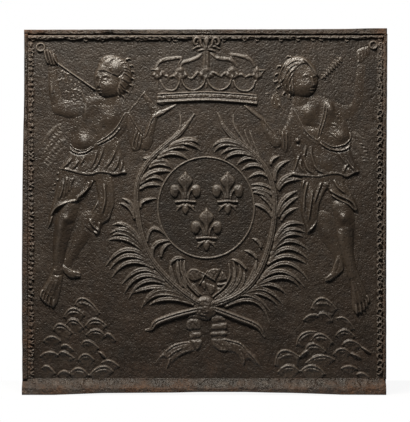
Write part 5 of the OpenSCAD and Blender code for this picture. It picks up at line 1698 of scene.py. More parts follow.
def make_skirt(side):
    r = Relief(40, 160, 122, 242, 0.4) if side == LEFT else Relief(294, 162, 366, 242, 0.4)
    r.cushion(SKIRTS[side], 1.4, 3.0, crown=0.8)
    # it hangs close under the tunic and swings out towards its hem
    r.h = r.h + 1.5 * np.clip((r.Y - 176) / 26, 0, 1) * np.clip(r.h / 1.2, 0, 1)
    if side == LEFT:
        sashes = [
            [[84.6, 198.4], [75, 200.8], [64.6, 203.4], [56, 207.8], [49.6, 216.4]],
            [[83, 202.6], [67.4, 207.4], [57.4, 211.8], [51.8, 218.6], [48.8, 230.6]],
            [[93, 180.7], [90.3, 186.4], [80.3, 196.8], [76, 199.6]],
            [[89.4, 182.6], [85.6, 190], [76.4, 198.4]],
        ]
        creases = [
            [[96.8, 196.4], [95.8, 205], [90.6, 213], [86.6, 222]],
            [[96, 198], [91, 206], [86.4, 214], [84, 220]],
            [[113.9, 181], [115.3, 197.9], [111.9, 210.7], [107.6, 222]],
            [[83, 218], [86, 225], [91.7, 230.7], [98, 235]],
            [[88.6, 218.6], [92.6, 225.4], [99, 231.4]], [[99.6, 222], [98.6, 228], [99.8, 234]],
            [[67.4, 177], [65.4, 186], [63.6, 198]], [[70.2, 177.4], [67.8, 186], [66.4, 196]],
            [[73, 178], [70.4, 185], [69.4, 192]], [[63.6, 180], [62, 190], [58.6, 200]],
            [[53.4, 220], [50.8, 226], [48.4, 232]], [[104, 184], [105, 200], [101, 216]],
        ]
        forms = [
            ([60, 206], 4.4, 2.8, 2.0, -30), ([77, 190], 6, 9, 1.5, 10), ([62, 192], 3, 9, 1.0, 5),
            ([104, 205], 5, 13, 1.4, 0), ([86.4, 202], 2.4, 1.6, 1.2, 0),
            ([97, 226], 3, 4, -0.8, 0), ([91, 198], 3.4, 9, -0.8, 20),
        ]
        for x, y in ((57.4, 173.4), (57, 179.6), (54.6, 184), (53, 189.6)):
            r.dome([x, y], 1.3, 1.1, 2.2, power=0.6)
    else:
        sashes = [
            [[328, 189.4], [338, 195.2], [349, 199.8], [354.4, 204.6], [357.4, 211]],
            [[331, 194.6], [341, 200.6], [350, 205.2], [355.6, 211.6]],
        ]
        creases = [
            [[306.6, 233], [312.6, 228.6], [317.4, 221], [318.4, 213], [320, 203], [325, 192]],
            [[304.6, 180], [301.4, 190], [300.4, 204]], [[308, 181], [304.6, 196], [304, 212]],
            [[313, 190], [310.6, 206], [308.4, 222]], [[322, 182], [318, 192], [314, 204]],
            [[345, 180], [348, 187], [353, 194]], [[334, 180], [338, 187], [346, 194]],
            [[322, 214], [316, 224], [310, 231]],
        ]
        forms = [
            ([311, 204], 5, 14, 1.4, 0), ([336, 190], 8, 6, 1.3, 0), ([348, 201], 4, 2.6, 0.9, 30),
            ([320, 208], 2.4, 8, -0.8, 0),
        ]
    r.swellings(forms)
    folds(r, sashes, 1.35, 2.6, -1.6, ends=0.06)
    folds(r, creases, 1.3, 2.3, -1.1)
    if side == RIGHT:
        r.dome([326.8, 184.6], 4.0, 3.2, 4.4, power=0.6, blend=1)
        r.adds([
            [[323, 183], [326, 185.6], [330, 186]], [[325, 181.6], [328, 184], [331, 184]],
        ], 0.5, -1.2)
    r.worn(0.34, 0.22)
    return r


def make_front_leg(side):
    r = Relief(34, 200, 86, 316, 0.45) if side == LEFT else Relief(326, 200, 378, 322, 0.45)
    if side == LEFT:
        leg = [
            [70, 206, 8.5], [66, 218, 9.2], [62, 234, 8.0], [58.8, 252, 5.8], [58, 266, 5],
            [56.8, 276, 5.6],
        ]
        foot = [
            [52, 271], [60.8, 271], [62.6, 278], [61, 288], [59, 297], [56.6, 304.6], [52, 307],
            [46, 304.6], [41.6, 301], [40, 295], [42.4, 288.4], [46.6, 281], [50, 275],
        ]
        toes = [
            [[53.8, 299], [53.4, 303], [53, 306.4]], [[49.8, 297], [49, 301.6], [48.8, 305]],
            [[46.8, 294.6], [45.8, 299], [45.6, 302.6]], [[44.2, 292.4], [43, 296.6], [42.8, 300]],
            [[42, 290.4], [40.8, 294], [40.6, 297.4]],
        ]
        forms = [
            ([66.3, 218.4], 3.2, 3.4, 2.4, 0), ([71, 223.8], 3.4, 1.8, -1.4, -30),
            ([60, 226], 3.2, 7, 2.0, 12), ([57.6, 244], 2.4, 12, 1.6, 8),
            ([67, 232], 3.4, 8, -0.8, 10), ([53.8, 270.6], 1.8, 1.7, 1.7, 0),
            ([61.4, 270], 1.6, 1.5, 1.0, 0), ([55.6, 282], 3.0, 6, 1.4, 12),
        ]
        dark = [[[51.6, 273.8], [57, 275.2], [64, 273.8]], [[72, 231], [69.6, 244], [65, 258]]]
        light = [
            [[55, 278], [51, 287], [47.6, 295]], [[57.6, 279], [54.4, 288], [51.4, 297]],
            [[53, 277], [48, 285], [44.6, 292]],
        ]
    else:
        leg = [
            [342.5, 207, 9], [345, 219, 9.4], [345.6, 236, 8.6], [347.6, 252, 6], [351, 266, 4.8],
            [353.4, 276, 5.2],
        ]
        foot = [
            [350.6, 270], [356.8, 269.6], [361, 279], [365, 288], [368.8, 298], [369.2, 303],
            [366.6, 308], [362, 312], [357.6, 313.6], [353.6, 311], [352, 304], [351.4, 292],
            [350.4, 280],
        ]
        toes = [
            [[367.2, 296], [368.4, 299.4], [368.8, 302.6]],
            [[365.4, 299], [366.4, 302.6], [367, 306.4]],
            [[362.8, 301.6], [364, 305.6], [364.6, 309.6]],
            [[359.8, 303.6], [360.8, 308], [361.4, 312]],
            [[356.2, 304.6], [356.8, 309], [357.2, 313]],
        ]
        forms = [
            ([343.6, 217.6], 4.0, 4.2, 2.8, 0), ([341, 240], 3.2, 11, 1.6, -8),
            ([341, 227], 5, 2.2, -0.7, -30), ([352, 222], 3, 7, -0.8, 0),
        ]
        dark = [[[353, 226], [354.4, 242], [353.6, 260]], [[334, 228], [337, 236], [338, 246]]]
        light = [
            [[354.6, 282], [358, 293], [360.6, 302]], [[357.6, 281], [361.4, 291], [364, 299]],
            [[352.8, 284], [354.8, 295], [356.4, 303]],
        ]
    r.limb(leg, [4.4, 5.4, 5.4, 4.8, 4.2, 4.0], power=0.95, skew=-0.25 if side == LEFT else 0.0)
    r.pad(foot, 2.8, 3.4, crown=1.2, blend=1.0)
    big_toe, gap = (0, (1.6, 0.6)) if side == LEFT else (4, (1.7, -1.6))
    for k, s in enumerate(toes):
        wide = (2.1 if k == big_toe else 1.5) * taper(0.8, 0.8, 5)
        r.stroke(bend(*s), wide, [3.6, 4.8, 5.0, 4.4], power=0.5, steps=2)
        if k:
            beside = [[p[0] + gap[0], p[1] + gap[1]] for p in bend(*s)]
            r.add(beside, 0.6, -3.2, ends=0.1, steps=1, soft=0.8)
    r.swellings(forms)
    r.adds(dark, 0.9, -1.3)
    r.adds(light, 0.9, 1.1)
    r.worn(0.5, 0.2)
    return r


def make_back_leg(side):
    r = Relief(56, 208, 102, 286, 0.45) if side == LEFT else Relief(306, 210, 350, 290, 0.45)
    if side == LEFT:
        leg = [[88, 220, 8.5], [83, 233, 8.2], [76, 246, 6.4], [69.4, 259, 4.6], [66, 267, 4.4]]
        foot = [
            [62.6, 265], [68.6, 268], [74, 270.6], [79.6, 271.6], [80.6, 275.4], [77, 278],
            [70.6, 278.4], [65.4, 275], [62, 270],
        ]
        toes = [[[74, 272], [77.6, 272.8], [80, 273.6]], [[73, 275], [77, 276], [79.8, 276]]]
    else:
        leg = [[323, 221, 9.6], [329.4, 235, 8.8], [335, 248, 6], [339.6, 259, 4], [341, 266, 4]]
        foot = [
            [337, 256], [341.6, 258], [344, 269.6], [338.6, 275.4], [333, 280], [326, 281.2],
            [325.4, 278.4], [331.4, 272],
        ]
        toes = [
            [[331, 274.4], [328, 277], [325.4, 278.6]], [[334, 276.4], [330, 279.4], [326, 280.6]],
        ]
    r.limb(leg, [1.7, 2.1, 2.1, 1.9, 1.9], power=1.0)
    r.pad(foot, 2.6, 1.8, crown=0.9, blend=0.8)
    r.strokes(toes, [1.3, 1.3, 0.9], [3.4, 3.6, 3.0])
    if side == LEFT:
        r.adds([
            [[84, 226], [90, 231.6], [96, 236]], [[74.6, 229.4], [70.4, 247.9], [64.8, 259.4]],
        ], 0.8, -1.2)
        r.swelling([90, 228], 4.0, 4.6, 0.7)
        r.swelling([79, 240], 3.0, 8, 0.8, turn=32)
    else:
        r.adds([
            [[313, 236], [321, 241], [329.4, 249]], [[340, 258], [338.6, 266], [335.4, 274]],
        ], 0.8, -1.0)
        r.add([[338.6, 257], [334, 266], [329.6, 274.6]], 0.8, 1.0)
        r.swelling([327.6, 232], 3.6, 6, 1.0, turn=-30)
    r.worn(0.36, 0.2)
    return r


def make_crown_arm(side):
    r = Relief(120, 86, 182, 158, 0.4) if side == LEFT else Relief(240, 86, 298, 158, 0.4)
    if side == LEFT:
        r.limb([
            [154.6, 117, 3.0], [151.2, 126, 3.8], [149, 134, 4.4], [147.4, 142, 4.8],
            [145.6, 145.4, 4.8],
        ], [2.0, 2.6, 2.9, 2.9, 2.4], power=0.7)
        r.stroke(
            [[154, 116.4], [163, 111.6], [175.4, 105]], [2.6, 2.3, 1.2], [2.6, 2.5, 1.8], skew=0.55,
            power=0.6,
        )
        r.cushion([[142, 94], [148, 97], [155, 104], [160, 111], [154, 117], [149, 110]], 0.9, 2.4)
        r.cushion([
            [127, 112], [131, 114], [138, 125], [144, 135], [142.6, 146], [137, 152], [131, 150],
            [128, 138], [126, 124],
        ], 1.3, 2.6, crown=0.4)
        light = [
            [[154.4, 115.4], [150, 122.6], [147.4, 131.4], [144, 138.6]],
            [[129, 113.4], [133.6, 121.6], [138, 128.2], [143, 135]],
            [[136.9, 131.2], [134, 139.4], [132.6, 146], [134, 150.4]],
            [[139.4, 132.6], [137.2, 140.6], [136, 149]], [[141, 135], [140.6, 142], [139, 147.6]],
        ]
        hand = [
            [[129, 111.6], [133.4, 106], [137.4, 101.8]],
            [[138.4, 100.2], [142, 95], [144.6, 91.8]], [[144.8, 93.8], [148, 98.2], [151.2, 102]],
            [[150.8, 104.4], [150.2, 109.4]], [[146, 96.6], [146.6, 101]],
        ]
        dots = [[147.6, 103], [153, 108], [149, 100.6], [155.4, 112.4]]
    else:
        r.limb([
            [263, 121, 2.4], [267.6, 130, 4.0], [272.6, 138, 4.8], [276.4, 142.4, 5.2],
        ], [1.4, 2.3, 2.7, 2.6], power=0.7)
        r.stroke(
            [[245, 105.8], [251.6, 110.8], [260, 117.2], [264.6, 121]], [1.1, 2.1, 2.3, 2.0],
            [1.8, 2.4, 2.3, 1.6], skew=0.5, power=0.6,
        )
        r.cushion([
            [271, 97], [276, 93.6], [280.4, 98], [281.6, 106], [277, 110], [271.4, 106],
        ], 0.8, 2.4)
        r.cushion([
            [292.4, 109], [288, 117], [284.6, 126], [281, 134], [281.4, 148], [286, 153],
            [290.6, 147], [293.4, 130], [294.6, 115],
        ], 1.3, 2.6, crown=0.4)
        light = [
            [[264.4, 121], [269, 126.6], [272.8, 130.8], [276, 134.6]],
            [[290.8, 112.9], [286.4, 120.6], [284.2, 127]],
            [[282.4, 130.7], [283.4, 139.6], [283.6, 150.6]],
            [[286.4, 133], [287.2, 142], [286.4, 150]],
        ]
        hand = [
            [[265.6, 93.6], [269, 93.4]],
            [[274, 94.4], [277.6, 95], [280, 101.4], [281.4, 107.2], [284.8, 110.8]],
            [[273.8, 95.4], [272.4, 99.4], [272, 103.6]], [[276.4, 98], [276.6, 103]],
            [[280.2, 129.8], [280.4, 135.2]],
        ]
        dots = [[278.6, 100], [279.6, 105.4], [274.6, 104], [277, 92.6]]
    r.strokes(hand, [0.7, 0.9, 0.7], [1.0, 1.6, 1.0], power=0.7)
    for x, y in dots:
        r.dome([x, y], 1.1, 0.9, 1.9, power=0.6)
    folds(r, light, 0.8, 1.5, -1.0, ends=0.1)
    r.worn(0.34, 0.35)
    return r


def make_trumpet_arm(side):
    r = Relief(36, 44, 104, 126, 0.4) if side == LEFT else Relief(318, 40, 378, 130, 0.4)
    if side == LEFT:
        r.limb([
            [52.4, 59, 4.0], [53.2, 80, 5.0], [55.4, 97, 5.8], [59.4, 107, 7.2],
        ], [1.0, 1.7, 2.2, 2.4], power=1.2)
        r.limb(
            [[59.6, 107.4, 7.6], [71, 109.6, 8.2], [84, 109, 7.4]], [2.5, 2.2, 1.3], power=1.0,
            skew=0.45,
        )
        r.swelling([51.2, 91], 1.8, 6.6, 1.9)
        r.adds([
            [[58, 67], [56.8, 73], [57.6, 80]], [[58, 82], [60, 90], [63, 97]],
        ], 0.8, -1.1, soft=0.6)
        r.pad([
            [43.6, 51], [47, 49], [52.6, 51.6], [56.4, 56], [57.6, 62], [54.6, 65.4], [48.6, 64.8],
            [44.4, 59],
        ], 1.5, 1.4, crown=0.3)
        fingers = [
            [[44.6, 50.8], [45.3, 56.6], [47.6, 63]], [[47.4, 50.2], [48.7, 56.6], [51, 64.4]],
            [[50.2, 52.2], [51.9, 58], [54, 64.6]], [[53.2, 55.4], [55, 60], [57.2, 63.6]],
        ]
        r.strokes([bend(*s) for s in fingers], 1.12, [4.8, 5.8, 5.8, 4.6], power=0.5, steps=2)
        # the rough patch between the arm and the tube
        chance = np.random.default_rng(37)
        for _ in range(46):
            x, y = chance.uniform(60, 84), chance.uniform(66, 103)
            if 65 + 0.62 * (x - 56) < y < 104 - 0.1 * (x - 60):
                a = chance.uniform(0, math.pi)
                middle = [x + 2.4 * math.cos(a), y + 2.4 * math.sin(a)]
                end = [x + 2.0 * math.cos(a + 1) + 1, y + 2.0 * math.sin(a + 1) + 2]
                r.stroke([[x, y], middle, end], 1.0, chance.uniform(0.4, 0.9), power=0.9, steps=3)
    else:
        r.limb([
            [333, 109, 7.4], [346, 112, 6.4], [357, 104, 5], [359.5, 86, 4.4], [361.5, 68, 4],
        ], [0.5, 0.6, 0.4, 0.35, 0.5], power=1.4)
        r.cushion([
            [357, 51], [362, 47.6], [369, 46.4], [371, 52], [367.6, 58], [361, 63.6], [357, 60],
        ], 0.7, 2.4, crown=0.4)
        r.strokes([
            [[359, 52], [359.4, 57], [359, 62]], [[362, 50], [362.8, 55], [363, 60]],
            [[365, 48.6], [366, 53], [366.4, 57.6]], [[368, 47.4], [368.6, 51], [369.2, 54]],
        ], 0.8, [1.0, 1.9, 1.2], power=0.8)
        r.dome([358.8, 61.6], 1.4, 1.2, 1.8, power=0.7)
        r.adds([[[328, 117.4], [334, 117.4], [339, 112]]], 1.0, -1.0, soft=0.6)
    r.worn(0.32, 0.3)
    return r


def make_trumpet(side):
    r = Relief(32, 40, 100, 96, 0.4) if side == LEFT else Relief(316, 36, 382, 88, 0.4)
    if side == LEFT:
        r.stroke(
            [[94.8, 89.3], [76, 76.3], [57, 62.9], [53, 59.6]], [1.0, 1.0, 1.1, 1.1],
            [3.8, 2.4, 2.4, 2.6], skew=0.4, power=0.5,
        )
        x, y, rad = 40.4, 47.4, 5.2
    else:
        r.stroke(
            [[322, 78.4], [331.5, 69], [340.6, 59.2]], [1.2, 2.4, 2.2], [1.6, 1.6, 1.4], power=0.7,
        )
        for t in np.linspace(0.02, 0.98, 8):
            p = np.array([323.6, 76.6]) + t * np.array([16.4, -17.0])
            w = 2.2 + 0.9 * t
            r.stroke([
                [p[0] - 0.75 * w, p[1] - 0.7 * w], [p[0] + 0.75 * w, p[1] + 0.7 * w],
            ], 0.75, 3.0, power=0.6)
        x, y, rad = 373.6, 45.2, 4.9
    line = [
        [x + (rad - 1.2) * math.cos(t), y + (rad - 1.4) * math.sin(t)]
        for t in np.linspace(0, 2 * math.pi, 25)
    ]
    r.dome([x, y], rad - 1, rad - 1.2, 0.6, power=0.4)
    r.stroke(line, 1.15, 3.2, steps=1, power=0.5)
    r.worn(0.28)
    return r


def make_wing(side):
    r = Relief(36, 116, 74, 176) if side == LEFT else Relief(346, 124, 378, 182)
    for s in FEATHERS[side]:
        r.stroke(bend(*s), [2.0, 2.8, 2.6, 1.2], [0.4, 0.6, 0.6, 0.3], power=1.0, steps=2)
    if side == LEFT:
        bars = [
            [[59.6 - 2.0 * k, 139 + 3.0 * k], [64 - 1.9 * k, 143.4 + 2.9 * k]]
            for k in range(9)
        ]
        bars += [[[58.6 - 1.9 * k, 128 + 3.0 * k], [61 - 1.9 * k, 130 + 3.0 * k]] for k in range(8)]
    else:
        bars = [
            [[359.6 + 0.5 * k, 137 + 3.4 * k], [365.4 + 0.6 * k, 138.6 + 3.3 * k]]
            for k in range(8)
        ]
    for b in bars:
        r.stroke(b, 0.9, 0.9, power=0.8)
    r.worn(0.46, 0.9)
    return r


def make_clouds(side):
    r = Relief(36, 294, 122, 394) if side == LEFT else Relief(268, 292, 376, 382)
    for a, crest, b in CLOUDS[side]:
        line = np.array(bend(a, crest, b, 12))
        wide = math.hypot(*(line[-1] - line[0]))
        # the belly mirrors the crest under the chord, so that the form runs out into the plate
        t = np.linspace(0, 1, len(line))[:, None]
        chord = line[0] + t * (line[-1] - line[0])
        belly = chord + (chord - line) * 0.8 + [0, 0.16 * wide] * np.sin(math.pi * t)
        window, deep = r.inside(np.vstack([line, belly[::-1]]), smooth=0)
        X, Y = r.X[window], r.Y[window]
        gap = np.full(X.shape, 1e9)
        for p, q in zip(line, line[1:]):
            d = q - p
            t = np.clip(((X - p[0]) * d[0] + (Y - p[1]) * d[1]) / (d @ d), 0, 1)
            gap = np.minimum(gap, np.hypot(X - p[0] - t * d[0], Y - p[1] - t * d[1]))
        slope = 3.2 * np.clip(1 - gap / (0.56 * wide), 0, 1) ** 1.3
        r.lay(window, np.where(deep > 0, slope * np.clip(deep / 2.4, 0, 1) ** 0.5, deep * FALL))
        r.stroke(
            line.tolist(), 1.3 * taper(0.6, 0.6, 13), 4.2 * taper(0.6, 0.6, 13), power=0.5, steps=1,
        )
        inner = chord + (line - chord) * 0.52 + [0, 0.3]
        r.add(inner[2:-2].tolist(), 0.8, 1.3, steps=1)
        r.add((line + [0, 2.4])[1:-1].tolist(), 0.6, -0.8, steps=1)
    r.worn(0.4, 1.3)
    return r


# Friezes


# The carving of the right strip stands this much taller, above this height
STRIP_TALLER, STRIP_PAD = 1.35, 1.4


def make_side_frieze(side):
    top, foot = BAND_IN_TOP + 7.9, ROW_1 + 0.6
    chance = np.random.default_rng(51 + side)
    between = chance.uniform
    down = np.arange(top, foot, 1.5)
    wavy = lambda col, wide, seed: [[col + wide * noise(0.0, y, 3.6, seed), y] for y in down]
    if side == LEFT:
        a, b = BAND_IN_LEFT - 0.6, COL_0
        r = Relief(a - 1.5, top - 1, b + 1.5, foot + 1, 0.4)
        r.pad([[a, top]] + wavy(b - 1.3, 0.8, 92) + [[a, foot]], 1.5, 1.4, smooth=0)
        row = top + 2
        while row < foot - 3:
            long = between(3.6, 6.4)
            mid = (a + b) / 2 + between(-0.6, 0.8)
            kind = chance.random()
            if kind < 0.4:
                bow = between(-1.6, 1.8)
                tail = [mid + between(-0.6, 0.8), row + 0.45 * long]
                line = [[mid + 0.6, row - 0.45 * long], [mid + 0.6 + bow, row], tail]
                r.stroke(line, [0.8, 1.4, 0.9], [2.8, between(3.6, 4.8), 3.0], power=0.55)
                r.dome([mid - bow, row], 1.1, between(0.9, 1.5), between(2.8, 3.8), power=0.5)
            elif kind < 0.75:
                r.dome(
                    [mid + between(0, 1.4), row], between(1.3, 1.9), between(1.1, 1.7),
                    between(3.6, 4.8), power=0.5,
                )
                r.dome([a + 1.8, row + between(-1, 1)], 1.1, 1.2, between(2.4, 3.4), power=0.5)
            else:
                barbs = [
                    [[b - 1.6, row - 1.8], [mid - 0.4, row + 0.2]],
                    [[b - 1.4, row + 1.4], [mid - 0.6, row + 0.6]],
                ]
                r.strokes(barbs, 1.0, between(3.4, 4.2), power=0.5)
            gap = [[a + 1.8, row + 0.5 * long], [b - 0.8, row + 0.5 * long + between(-0.8, 0.8)]]
            r.add(gap, 0.7, -1.3, ends=0.1, soft=0.8)
            row += long
    else:
        a, b = COL_1, BAND_IN_RIGHT + 0.5
        r = Relief(a - 1.5, top - 1, b + 1.5, foot + 1, 0.4)
        r.pad(wavy(a + 1.8, 0.9, 93) + [[b, foot], [b, top]], 1.2, 1.4, smooth=0)
        row = top + 2
        while row < foot - 3:
            long = between(5.6, 8.2)
            slim = 1.4 if row < 108 else 0.0
            mid = (a + b) / 2 + between(-0.4, 0.4) + 0.5 * slim
            high = between(3.8, 4.8) - 0.5 * slim
            flip = 1 if chance.random() < 0.65 else -1
            # a scroll that opens to the field or the rim, a bud in it and a slanting leaf
            across = lambda t: mid + flip * t * (1 - 0.25 * slim)
            scroll = ((-2.6, 1.6), (-1.4, -1.4), (1.0, -2.0), (2.4, 0), (1.4, 2.2), (-0.6, 2.4))
            line = [[across(t), row + down_by] for t, down_by in scroll]
            r.stroke(
                line, [0.8, 1.15, 1.3, 1.3, 1.1, 0.8],
                [2.6, 0.9 * high, high, high, 0.9 * high, 2.8], power=0.5,
            )
            r.dome([across(-0.2), row + 0.5], 1.0, 0.9, 3.6, power=0.5)
            slant = [
                [across(t), row + share * long]
                for t, share in ((2.2, 0.4), (0, 0.55), (-2.4, 0.62))
            ]
            r.stroke(slant, [0.8, 1.1, 0.8], [3.0, high - 0.4, 3.0], power=0.5)
            gap = [[across(-2.6), row + 0.38 * long], [across(1.8), row + 0.7 * long]]
            r.add(gap, 0.6, -1.2, ends=0.1, soft=0.8)
            row += long
        r.stroke([[b - 0.5, top], [b - 0.5, foot]], 0.8, 3.6, steps=60)
        r.h = np.where(r.h > STRIP_PAD, STRIP_TALLER * r.h, r.h)
    r.worn(0.28)
    return r


def make_top_frieze():
    a, b = BAND_IN_LEFT - 0.6, BAND_IN_RIGHT + 0.6
    top = BAND_IN_TOP + 0.3
    r = Relief(a - 1.5, top - 1, b + 1.5, top + 10.5, 0.4)
    chance = np.random.default_rng(57)
    between = chance.uniform
    cols = np.arange(a + 1, b - 1, 1.0)
    wave = noise(cols, 38.0 + 0 * cols, 9, 91) + 0.5 * noise(cols, 44.0 + 0 * cols, 3.4, 94)
    # a moulding whose face leans to a wavy, undercut lower side, lower on the right
    turn = np.clip((cols - 214) / 24, 0, 1)
    low = top + 4.9 - 0.7 * turn + 0.8 * wave
    edge = [[c, y] for c, y in zip(cols, low)]
    r.pad([[a, top], [b, top]] + edge[::-1], 3.2, 0.8, smooth=0)
    lean = np.interp(r.Y, [top, top + 1.2, top + 3.4, top + 5.6], [1.9, 1.3, 0.9, 0.3])
    r.h = r.h + (lean - 0.9 * np.clip((r.X - 214) / 24, 0, 1)) * np.clip(r.h, 0, 1)
    r.add([[c, top + 0.5 + 0.06 * c % 0.2] for c in cols], 0.5, -1.1, ends=0, steps=1)
    col = a + 4
    while col < b - 5:
        long = between(3.6, 8.5)
        y = top + 3.0 + between(-0.7, 0.5)
        start, middle = [col, y + between(-0.8, 0.9)], [col + long / 2, y - between(-0.4, 1.3)]
        line = bend(start, middle, [col + long - 0.8, y + between(-0.6, 1.2)])
        if not 192 < col < 219:
            r.add(line, between(0.7, 1.0), between(0.9, 1.7), ends=0.2, steps=2)
            r.add([[p[0], p[1] + 1.5] for p in line], 0.6, -1.0, ends=0.2, steps=2)
            end = col + long
            notch = [
                [end - 0.6, top + 1.8], [end - 1.8 + between(-1, 1), top + 3.2], [end - 1, y + 1],
            ]
            r.add(notch, 0.5, between(-1.5, -0.6))
            if chance.random() < 0.4:
                hook = [[col, y + 1.6], [col + 1.4, y + 2.8], [col + 3, y + 2.2]]
                r.stroke(hook, 0.8, 3.0, power=0.5)
        col += long
    r.worn(0.26)
    return r


# ---- Cast iron -------------------------------------------------------------


class Nodes:
    """Short ways to add and join the nodes of a material or a world."""

    def __init__(self, owner):
        owner.use_nodes = True
        self.tree = owner.node_tree

    def add(self, kind, **values):
        node = self.tree.nodes.new(kind)
        for key, value in values.items():
            setattr(node, key, value)
        return node

    def put(self, socket, value):
        if isinstance(value, bpy.types.NodeSocket):
            self.tree.links.new(value, socket)
        else:
            socket.default_value = value

    def noise(self, vector, scale, detail=3.0, rough=0.55):
        node = self.add("ShaderNodeTexNoise")
        self.put(node.inputs["Vector"], vector)
        self.put(node.inputs["Scale"], scale)
        self.put(node.inputs["Detail"], detail)
        self.put(node.inputs["Roughness"], rough)
        return node.outputs["Fac"]

    def span(self, value, a, b, to_a=0.0, to_b=1.0):
        node = self.add("ShaderNodeMapRange", interpolation_type="SMOOTHSTEP")
        for key, v in zip(
            ("Value", "From Min", "From Max", "To Min", "To Max"), (value, a, b, to_a, to_b),
        ):
            self.put(node.inputs[key], v)
        return node.outputs["Result"]

    def math(self, operation, a, b, clamp=False):
        node = self.add("ShaderNodeMath", operation=operation, use_clamp=clamp)
        self.put(node.inputs[0], a)
        self.put(node.inputs[1], b)
        return node.outputs[0]

    def mix(self, amount, a, b):
        node = self.add("ShaderNodeMix", data_type="RGBA")
        for socket, v in zip((node.inputs[0], node.inputs[6], node.inputs[7]), (amount, a, b)):
            self.put(socket, v)
        return node.outputs[2]

    def attribute(self, name):
        return self.add("ShaderNodeAttribute", attribute_name=name).outputs["Fac"]

    def shade(self, amount, a, b, output):
        """Mixes two shaders for the surface."""
        both = self.add("ShaderNodeMixShader")
        for socket, v in zip(both.inputs, (amount, a.outputs[0], b.outputs[0])):
            self.put(socket, v)
        self.put(output.inputs["Surface"], both.outputs[0])


def colour(r, g, b):
    """A linear colour from one read on a screen, 0 to 255."""
    shares = [c / 255 for c in (r, g, b)]
    line = [c / 12.92 if c <= 0.04045 else ((c + 0.055) / 1.055) ** 2.4 for c in shares]
    return (*line, 1.0)


def cast_iron(name, base, light, dark, pit_depth, shine, gloss, streaks=0.0, mottle=0.25):
    """Sand-cast iron that has stood by fires: mottled, pitted, worn on its crests and rusty, with a
    painted highlight on its crests and painted shade in its hollows.
    """
    material = bpy.data.materials.new(name)
    n = Nodes(material)
    shader = n.tree.nodes["Principled BSDF"].inputs
    place = n.add("ShaderNodeTexCoord").outputs["Object"]
    stretch = n.add("ShaderNodeMapping")
    n.put(stretch.inputs["Vector"], place)
    stretch.inputs["Scale"].default_value = (1.9, 1.0, 0.4)
    # unevenness at scales from the whole piece down to the sand's grain
    broad = n.noise(place, 9.0, 4.0)
    patch = n.noise(place, 42.0, 4.0, 0.6)
    coarse = n.noise(place, 150.0, 3.0, 0.6)
    fine = n.noise(place, 330.0, 3.0, 0.6)
    grit = n.noise(place, 900.0, 2.0, 0.5)
    drawn = n.noise(stretch.outputs["Vector"], 150.0, 3.0, 0.6)
    pits = n.add("ShaderNodeTexVoronoi", feature="SMOOTH_F1")
    n.put(pits.inputs["Vector"], place)
    pits.inputs["Scale"].default_value = 190.0
    hole = n.span(pits.outputs["Distance"], 0.08, 0.42)
    # mottled iron, then worn crests lightened with a painted highlight, soot and painted shade in
    # the hollows, soot in the pits, and rust
    tone = n.mix(n.span(broad, 0.35, 0.68), base, light)
    tone = n.mix(n.span(patch, 0.42, 0.7, 0.0, 0.55), tone, dark)
    tone = n.mix(n.span(fine, 0.5, 0.72, 0.0, 0.4), tone, light)
    tone = n.mix(n.span(coarse, 0.5, 0.66, 0.0, mottle), tone, dark)
    tone = n.mix(n.span(drawn, 0.45, 0.75, 0.0, 0.1 + 0.4 * streaks), tone, light)
    # painted highlight: crests turn towards a pale colour, along with their real wear
    wear_and_highlight = n.attribute("wear_and_highlight")
    worn = n.math("MULTIPLY", wear_and_highlight, n.span(fine, 0.3, 0.65, 0.45, 1.0), clamp=True)
    tone = n.mix(n.math("MULTIPLY", worn, 0.6), tone, colour(122, 113, 104))
    # painted shade: hollows turn dark, along with their soot
    hollow = n.math("MULTIPLY", n.attribute("hollow"), 0.75, clamp=True)
    tone = n.mix(hollow, tone, colour(22, 19, 16))
    tone = n.mix(n.span(hole, 0.55, 0.0, 0.0, 0.35), tone, colour(24, 21, 18))
    rust = n.math("MULTIPLY", n.attribute("rust"), n.span(patch, 0.3, 0.62, 0.35, 1.25), clamp=True)
    shade = n.mix(n.span(fine, 0.35, 0.7), colour(58, 39, 26), colour(100, 68, 44))
    tone = n.mix(n.math("MULTIPLY", rust, 0.8), tone, shade)
    n.put(shader["Base Color"], tone)
    gloss = n.span(patch, 0.3, 0.75, *gloss)
    gloss = n.math("SUBTRACT", gloss, n.math("MULTIPLY", worn, 0.08))
    gloss = n.math("SUBTRACT", gloss, n.math("MULTIPLY", n.attribute("polish"), 0.12))
    gloss = n.math("ADD", gloss, n.math("MULTIPLY", rust, 0.3), clamp=True)
    n.put(shader["Roughness"], gloss)
    shader["Specular IOR Level"].default_value = shine
    shader["Specular Tint"].default_value = (1.0, 0.965, 0.915, 1.0)
    height = n.math("MULTIPLY", fine, 0.8)
    for part, share in ((grit, 0.2), (coarse, 0.7), (hole, 0.35), (drawn, 0.2 + streaks)):
        height = n.math("ADD", height, n.math("MULTIPLY", part, share))
    bump = n.add("ShaderNodeBump")
    bump.inputs["Strength"].default_value = 1.0
    bump.inputs["Distance"].default_value = pit_depth
    n.put(bump.inputs["Height"], height)
    n.put(shader["Normal"], bump.outputs["Normal"])
    return material


IRON_FIELD = cast_iron(
    "iron_plate", colour(43, 34, 26), colour(55, 45, 36), colour(25, 19, 14),
    pit_depth=0.0014, shine=0.45, gloss=(0.4, 0.52), streaks=0.15,
)
IRON_BORDER = cast_iron(
    "iron_border", colour(41, 32, 24), colour(60, 48, 37), colour(22, 16, 11),
    pit_depth=0.0026, shine=0.5, gloss=(0.36, 0.5), mottle=0.8,
)
IRON_RELIEF = cast_iron(
    "iron_relief", colour(46, 37, 29), colour(62, 52, 42), colour(27, 21, 16),
    pit_depth=0.0011, shine=0.62, gloss=(0.4, 0.52),
)

# ---- Making every piece --------------------------------------------------------

make_plate(IRON_FIELD)
make_bands(IRON_BORDER)
make_ledge(IRON_BORDER)

